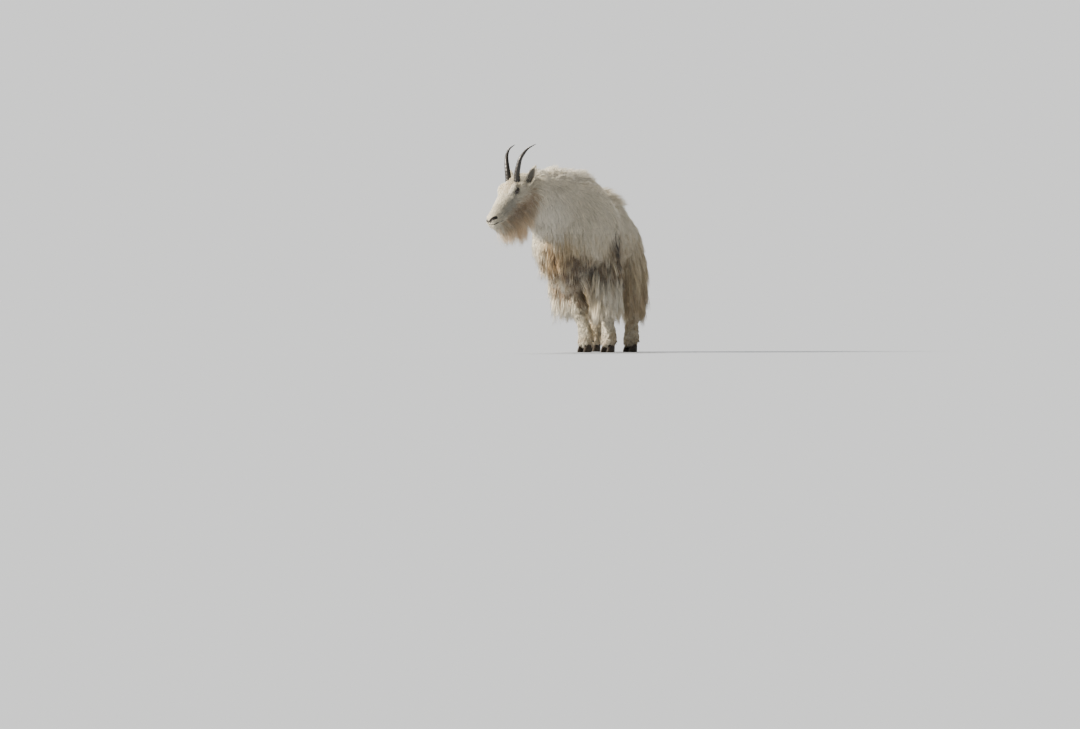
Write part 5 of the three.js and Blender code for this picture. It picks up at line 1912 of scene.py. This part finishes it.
@dataclass
class Eye:
    """An eyeball with a dark brown iris and a level, oblong pupil."""

    side: float

    def build(self, name: str, material: bpy.types.Material) -> bpy.types.Object:
        """Build the eyeball with its iris and pupil marked.

        Args:
            name: Name of the piece.
            material: The eye's material.

        Returns:
            The finished object.
        """
        rows, columns = 40, 48
        centre = HEAD.at(EYE_PLACE[0], self.side * EYE_PLACE[1], EYE_PLACE[2])
        outward = unit(HEAD.left * self.side + HEAD.along * 0.10)
        across = unit(HEAD.along - outward * (HEAD.along @ outward))
        upward = np.cross(outward, across) * self.side
        points, flat = [], []
        for row in range(1, rows):
            polar = math.pi * row / rows
            dome = 1.0 + 0.045 * math.exp(-((polar / 0.62) ** 4))
            for column in range(columns):
                angle = column * math.tau / columns
                aside, raised = math.cos(angle) * math.sin(polar), math.sin(angle) * math.sin(polar)
                ball = outward * math.cos(polar) + across * aside + upward * raised
                points.append(centre + ball * EYE_RADIUS * dome)
                flat.append((aside, raised, math.cos(polar)))
        points += [centre + outward * EYE_RADIUS * 1.045, centre - outward * EYE_RADIUS]
        flat += [(0, 0, 1), (0, 0, -1)]
        faces: list[tuple[int, ...]] = []
        for row in range(rows - 2):
            for i in range(columns):
                a, b = row * columns + i, row * columns + (i + 1) % columns
                faces.append((a, b, b + columns, a + columns))
        last = (rows - 2) * columns
        count = (rows - 1) * columns
        for i in range(columns):
            j = (i + 1) % columns
            faces += [(count, j, i), (count + 1, last + i, last + j)]
        mesh = mesh_of(name, np.array(points), faces)
        local = np.array(flat)
        iris = (1 - smooth_step(0.60, 0.68, np.hypot(local[:, 0], local[:, 1]))) * (local[:, 2] > 0)
        pupil = 1 - smooth_step(0.8, 1.1, np.hypot(local[:, 0] / 0.40, local[:, 1] / 0.17))
        colour = (
            np.array((0.02, 0.015, 0.011)) * (1 - iris[:, None])
            + np.array((0.035, 0.017, 0.008)) * iris[:, None]
        )
        colour = colour * (1 - pupil[:, None] * iris[:, None])
        rim = np.exp(-((np.hypot(local[:, 0], local[:, 1]) - 0.64) / 0.06) ** 2)[:, None]
        paint(mesh, colour * (1 - 0.7 * rim), np.zeros(len(colour)))
        mesh.materials.append(material)
        return new_object(name, mesh)


@dataclass(frozen=True)
class EyeFinish:
    """A wet eye: the iris shows fine rays below a clear coat."""

    name: str = "wet_eye"

    def material(self) -> bpy.types.Material:
        """Build the finish."""
        made = bpy.data.materials.new(self.name)
        made.use_nodes = True
        nodes = Nodes(made.node_tree)
        tone = nodes.add("ShaderNodeAttribute", attribute_name="Tone")
        place = nodes.add("ShaderNodeTexCoord").outputs["Object"]
        rays = nodes.add("ShaderNodeTexNoise", Vector=place, Scale=1400.0, Detail=3.0)
        shade = nodes.add("ShaderNodeMapRange", Value=rays.outputs["Fac"], To_Min=0.6, To_Max=1.4)
        grey = nodes.add("ShaderNodeCombineColor", Red=shade.outputs[0], Green=shade.outputs[0], Blue=shade.outputs[0])
        mixed = nodes.add(
            "ShaderNodeMix", data_type="RGBA", blend_type="MULTIPLY", I0=1.0, I6=tone.outputs["Color"], I7=grey.outputs[0]
        )
        shader = nodes.add("ShaderNodeBsdfPrincipled", Base_Color=mixed.outputs[2], Roughness=0.16)
        shader.inputs["Coat Weight"].default_value = 0.35
        shader.inputs["Coat Roughness"].default_value = 0.03
        nodes.add("ShaderNodeOutputMaterial", Surface=shader.outputs[0])
        return made


@dataclass(frozen=True)
class Lamp:
    """A far lamp: where its light comes from, how strong and how wide it is, and its colour."""

    name: str
    right: float
    back: float
    up: float
    strength: float
    width: float
    colour: tuple[float, float, float]


@dataclass
class Studio:
    """The camera at the photograph's angle, the pale floor and the soft lights."""

    azimuth: float = 34.0
    distance: float = 33.6
    lens: float = 200.0
    height: float = 0.30
    aim_across: float = -0.336
    aim_up: float = -0.070
    ground: tuple[float, float, float] = (0.285, 0.305, 0.34)
    sky: tuple[float, float, float] = (0.275, 0.268, 0.248)
    lamps: tuple[Lamp, ...] = (
        Lamp("key", -0.84, 0.24, 0.48, 12.5, 12.0, (1.0, 0.92, 0.79)),
        Lamp("rim", -0.25, -0.50, 0.82, 6.5, 25.0, (1.0, 0.95, 0.87)),
    )

    def build(self) -> None:
        """Build the camera, floor, world and lights."""
        angle = math.radians(self.azimuth)
        right = np.array((math.cos(angle), math.sin(angle), 0.0))
        back = np.array((math.sin(angle), -math.cos(angle), 0.0))
        aim = SHIFT + right * self.aim_across - DOWN * self.aim_up
        place = aim + back * self.distance
        place[2] = self.height
        self.camera(place, aim)
        seen = np.array(self.sky)
        for lamp in self.lamps:
            way = unit(right * lamp.right + back * lamp.back - DOWN * lamp.up)
            self.shine(lamp, way)
            seen = seen + np.array(lamp.colour) * lamp.strength * way[2] / math.pi
        self.floor()
        self.world(seen * self.ground)

    def camera(self, place: Array, aim: Array) -> None:
        """Set the camera at a place, looking at a point."""
        data = bpy.data.cameras.new("camera")
        data.lens = self.lens
        data.sensor_width = 36.0
        data.clip_end = 2000.0
        made = bpy.data.objects.new("camera", data)
        bpy.context.scene.collection.objects.link(made)
        made.location = place
        made.rotation_euler = Vector(aim - place).to_track_quat("-Z", "Y").to_euler()
        bpy.context.scene.camera = made

    def floor(self) -> None:
        """Lay the pale floor."""
        size = 900.0
        corners = np.array(((-size, -size, 0), (size, -size, 0), (size, size, 0), (-size, size, 0)), float)
        mesh = bpy.data.meshes.new("floor")
        mesh.from_pydata(corners.tolist(), [], [(0, 1, 2, 3)])
        made = new_object("floor", mesh)
        material = bpy.data.materials.new("pale_floor")
        material.use_nodes = True
        nodes = Nodes(material.node_tree)
        ground = nodes.add("ShaderNodeBsdfPrincipled", Base_Color=(*self.ground, 1.0), Roughness=1.0)
        ground.inputs["Specular IOR Level"].default_value = 0.0
        nodes.add("ShaderNodeOutputMaterial", Surface=ground.outputs[0])
        mesh.materials.append(material)

    def world(self, seen: Array) -> None:
        """Light the scene softly from all round.

        Args:
            seen: The colour that the camera sees beyond the floor, the same as the lit floor's.
        """
        world = bpy.data.worlds.new("pale_world")
        world.use_nodes = True
        nodes = Nodes(world.node_tree)
        path = nodes.add("ShaderNodeLightPath")
        shine = nodes.add("ShaderNodeBackground", Color=(*self.sky, 1.0), Strength=1.0)
        backdrop = nodes.add("ShaderNodeBackground", Color=(*seen, 1.0), Strength=1.0)
        both = nodes.add(
            "ShaderNodeMixShader", Fac=path.outputs["Is Camera Ray"],
            I1=shine.outputs[0], I2=backdrop.outputs[0]
        )
        nodes.add("ShaderNodeOutputWorld", Surface=both.outputs[0])
        bpy.context.scene.world = world

    def shine(self, lamp: Lamp, way: Array) -> None:
        """Hang a far lamp.

        Args:
            lamp: The lamp.
            way: The direction from the animal to the lamp.
        """
        data = bpy.data.lights.new(lamp.name, "SUN")
        data.energy = lamp.strength
        data.angle = math.radians(lamp.width)
        data.color = lamp.colour
        made = bpy.data.objects.new(lamp.name, data)
        bpy.context.scene.collection.objects.link(made)
        made.location = way * 8.0
        made.rotation_euler = Vector(-way).to_track_quat("-Z", "Y").to_euler()


# The root value darkens each hair towards the skin, and the skin itself: painted shade deep in the coat.
SKIN_FINISH = HairFinish("undercoat", 0.80, 1.0, 0.35, 420.0, 0.85, 0.2, 0.6)
HAIR_FINISH = HairFinish("winter_hair", 0.72, 1.08, 0.18, 260.0, 0.62, 0.25, 0.0)
HORN_FINISH = HornFinish(
    "black_horn", (0.008, 0.007, 0.006), (0.036, 0.028, 0.021), 0.38, (420.0, 420.0, 26.0), 0.25
)
HOOF_FINISH = HornFinish(
    "hoof_wall", (0.022, 0.017, 0.013), (0.11, 0.085, 0.06), 0.55, (300.0, 300.0, 50.0), 0.0
)


def main() -> None:
    """Build every piece in order and fit it to the frame."""
    logging.basicConfig(level=logging.INFO, format="%(message)s")
    fibre = fibre_group()
    skin = Skin(Body())
    skin_piece = skin.build()
    skin.finish(SKIN_FINISH.material(fibre))
    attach(skin_piece, "root")
    flesh = ["head", "neck", "torso", "tail", "ear_left", "ear_right"]
    flesh += [f"{leg}_{part}" for leg in LEG_NAMES for part in ("upper", "lower")]
    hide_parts(*flesh)
    LOG.info("skin: %d faces", len(skin_piece.data.polygons))
    hair = HAIR_FINISH.material(fibre)
    coat = Coat(skin)
    total = 0
    for number, part in enumerate(COAT_PARTS):
        piece = coat.build(part, number, hair)
        if piece is None:
            LOG.warning("%s: nothing grows there", part.name)
            continue
        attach(piece, "root")
        triangles = triangle_count(piece.data)
        total += triangles
        LOG.info("%s: %d triangles", part.name, triangles)
    LOG.info("coat: %d triangles in all", total)
    horn_material, sweep = HORN_FINISH.material(), horn_tree()
    eye_material, hoof_material = EyeFinish().material(), HOOF_FINISH.material()
    for name, side in SIDES.items():
        horn = Horn(side).build(f"ringed_horn_{name}", sweep, horn_material)
        eye = Eye(side).build(f"eyeball_{name}", eye_material)
        for piece, node, slot in ((horn, f"horn_{name}", "horn"), (eye, f"eye_{name}", "eye")):
            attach(piece, "root")
            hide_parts(node)
            LOG.info("%s: %d faces", piece.name, len(piece.data.polygons))
    for leg in LEG_NAMES:
        outward = 1.0 if leg.endswith("left") else -1.0
        for place, side in (("outer", outward), ("inner", -outward)):
            claw = Hoof(leg, skin.body.feet[leg], side).build(f"hoof_{leg}_{place}", hoof_material)
            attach(claw, "root")
            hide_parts(f"{leg}_claw_{place}")
            spur = Dewclaw(skin.body.feet[leg], side).build(f"dewclaw_{leg}_{place}", hoof_material)
            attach(spur, "root")
        LOG.info("hooves of %s", leg)
    Studio().build()


def triangle_count(mesh: bpy.types.Mesh) -> int:
    """The number of triangles in a mesh."""
    return len(mesh.loops) - 2 * len(mesh.polygons)


if __name__ == "__main__":
    main()
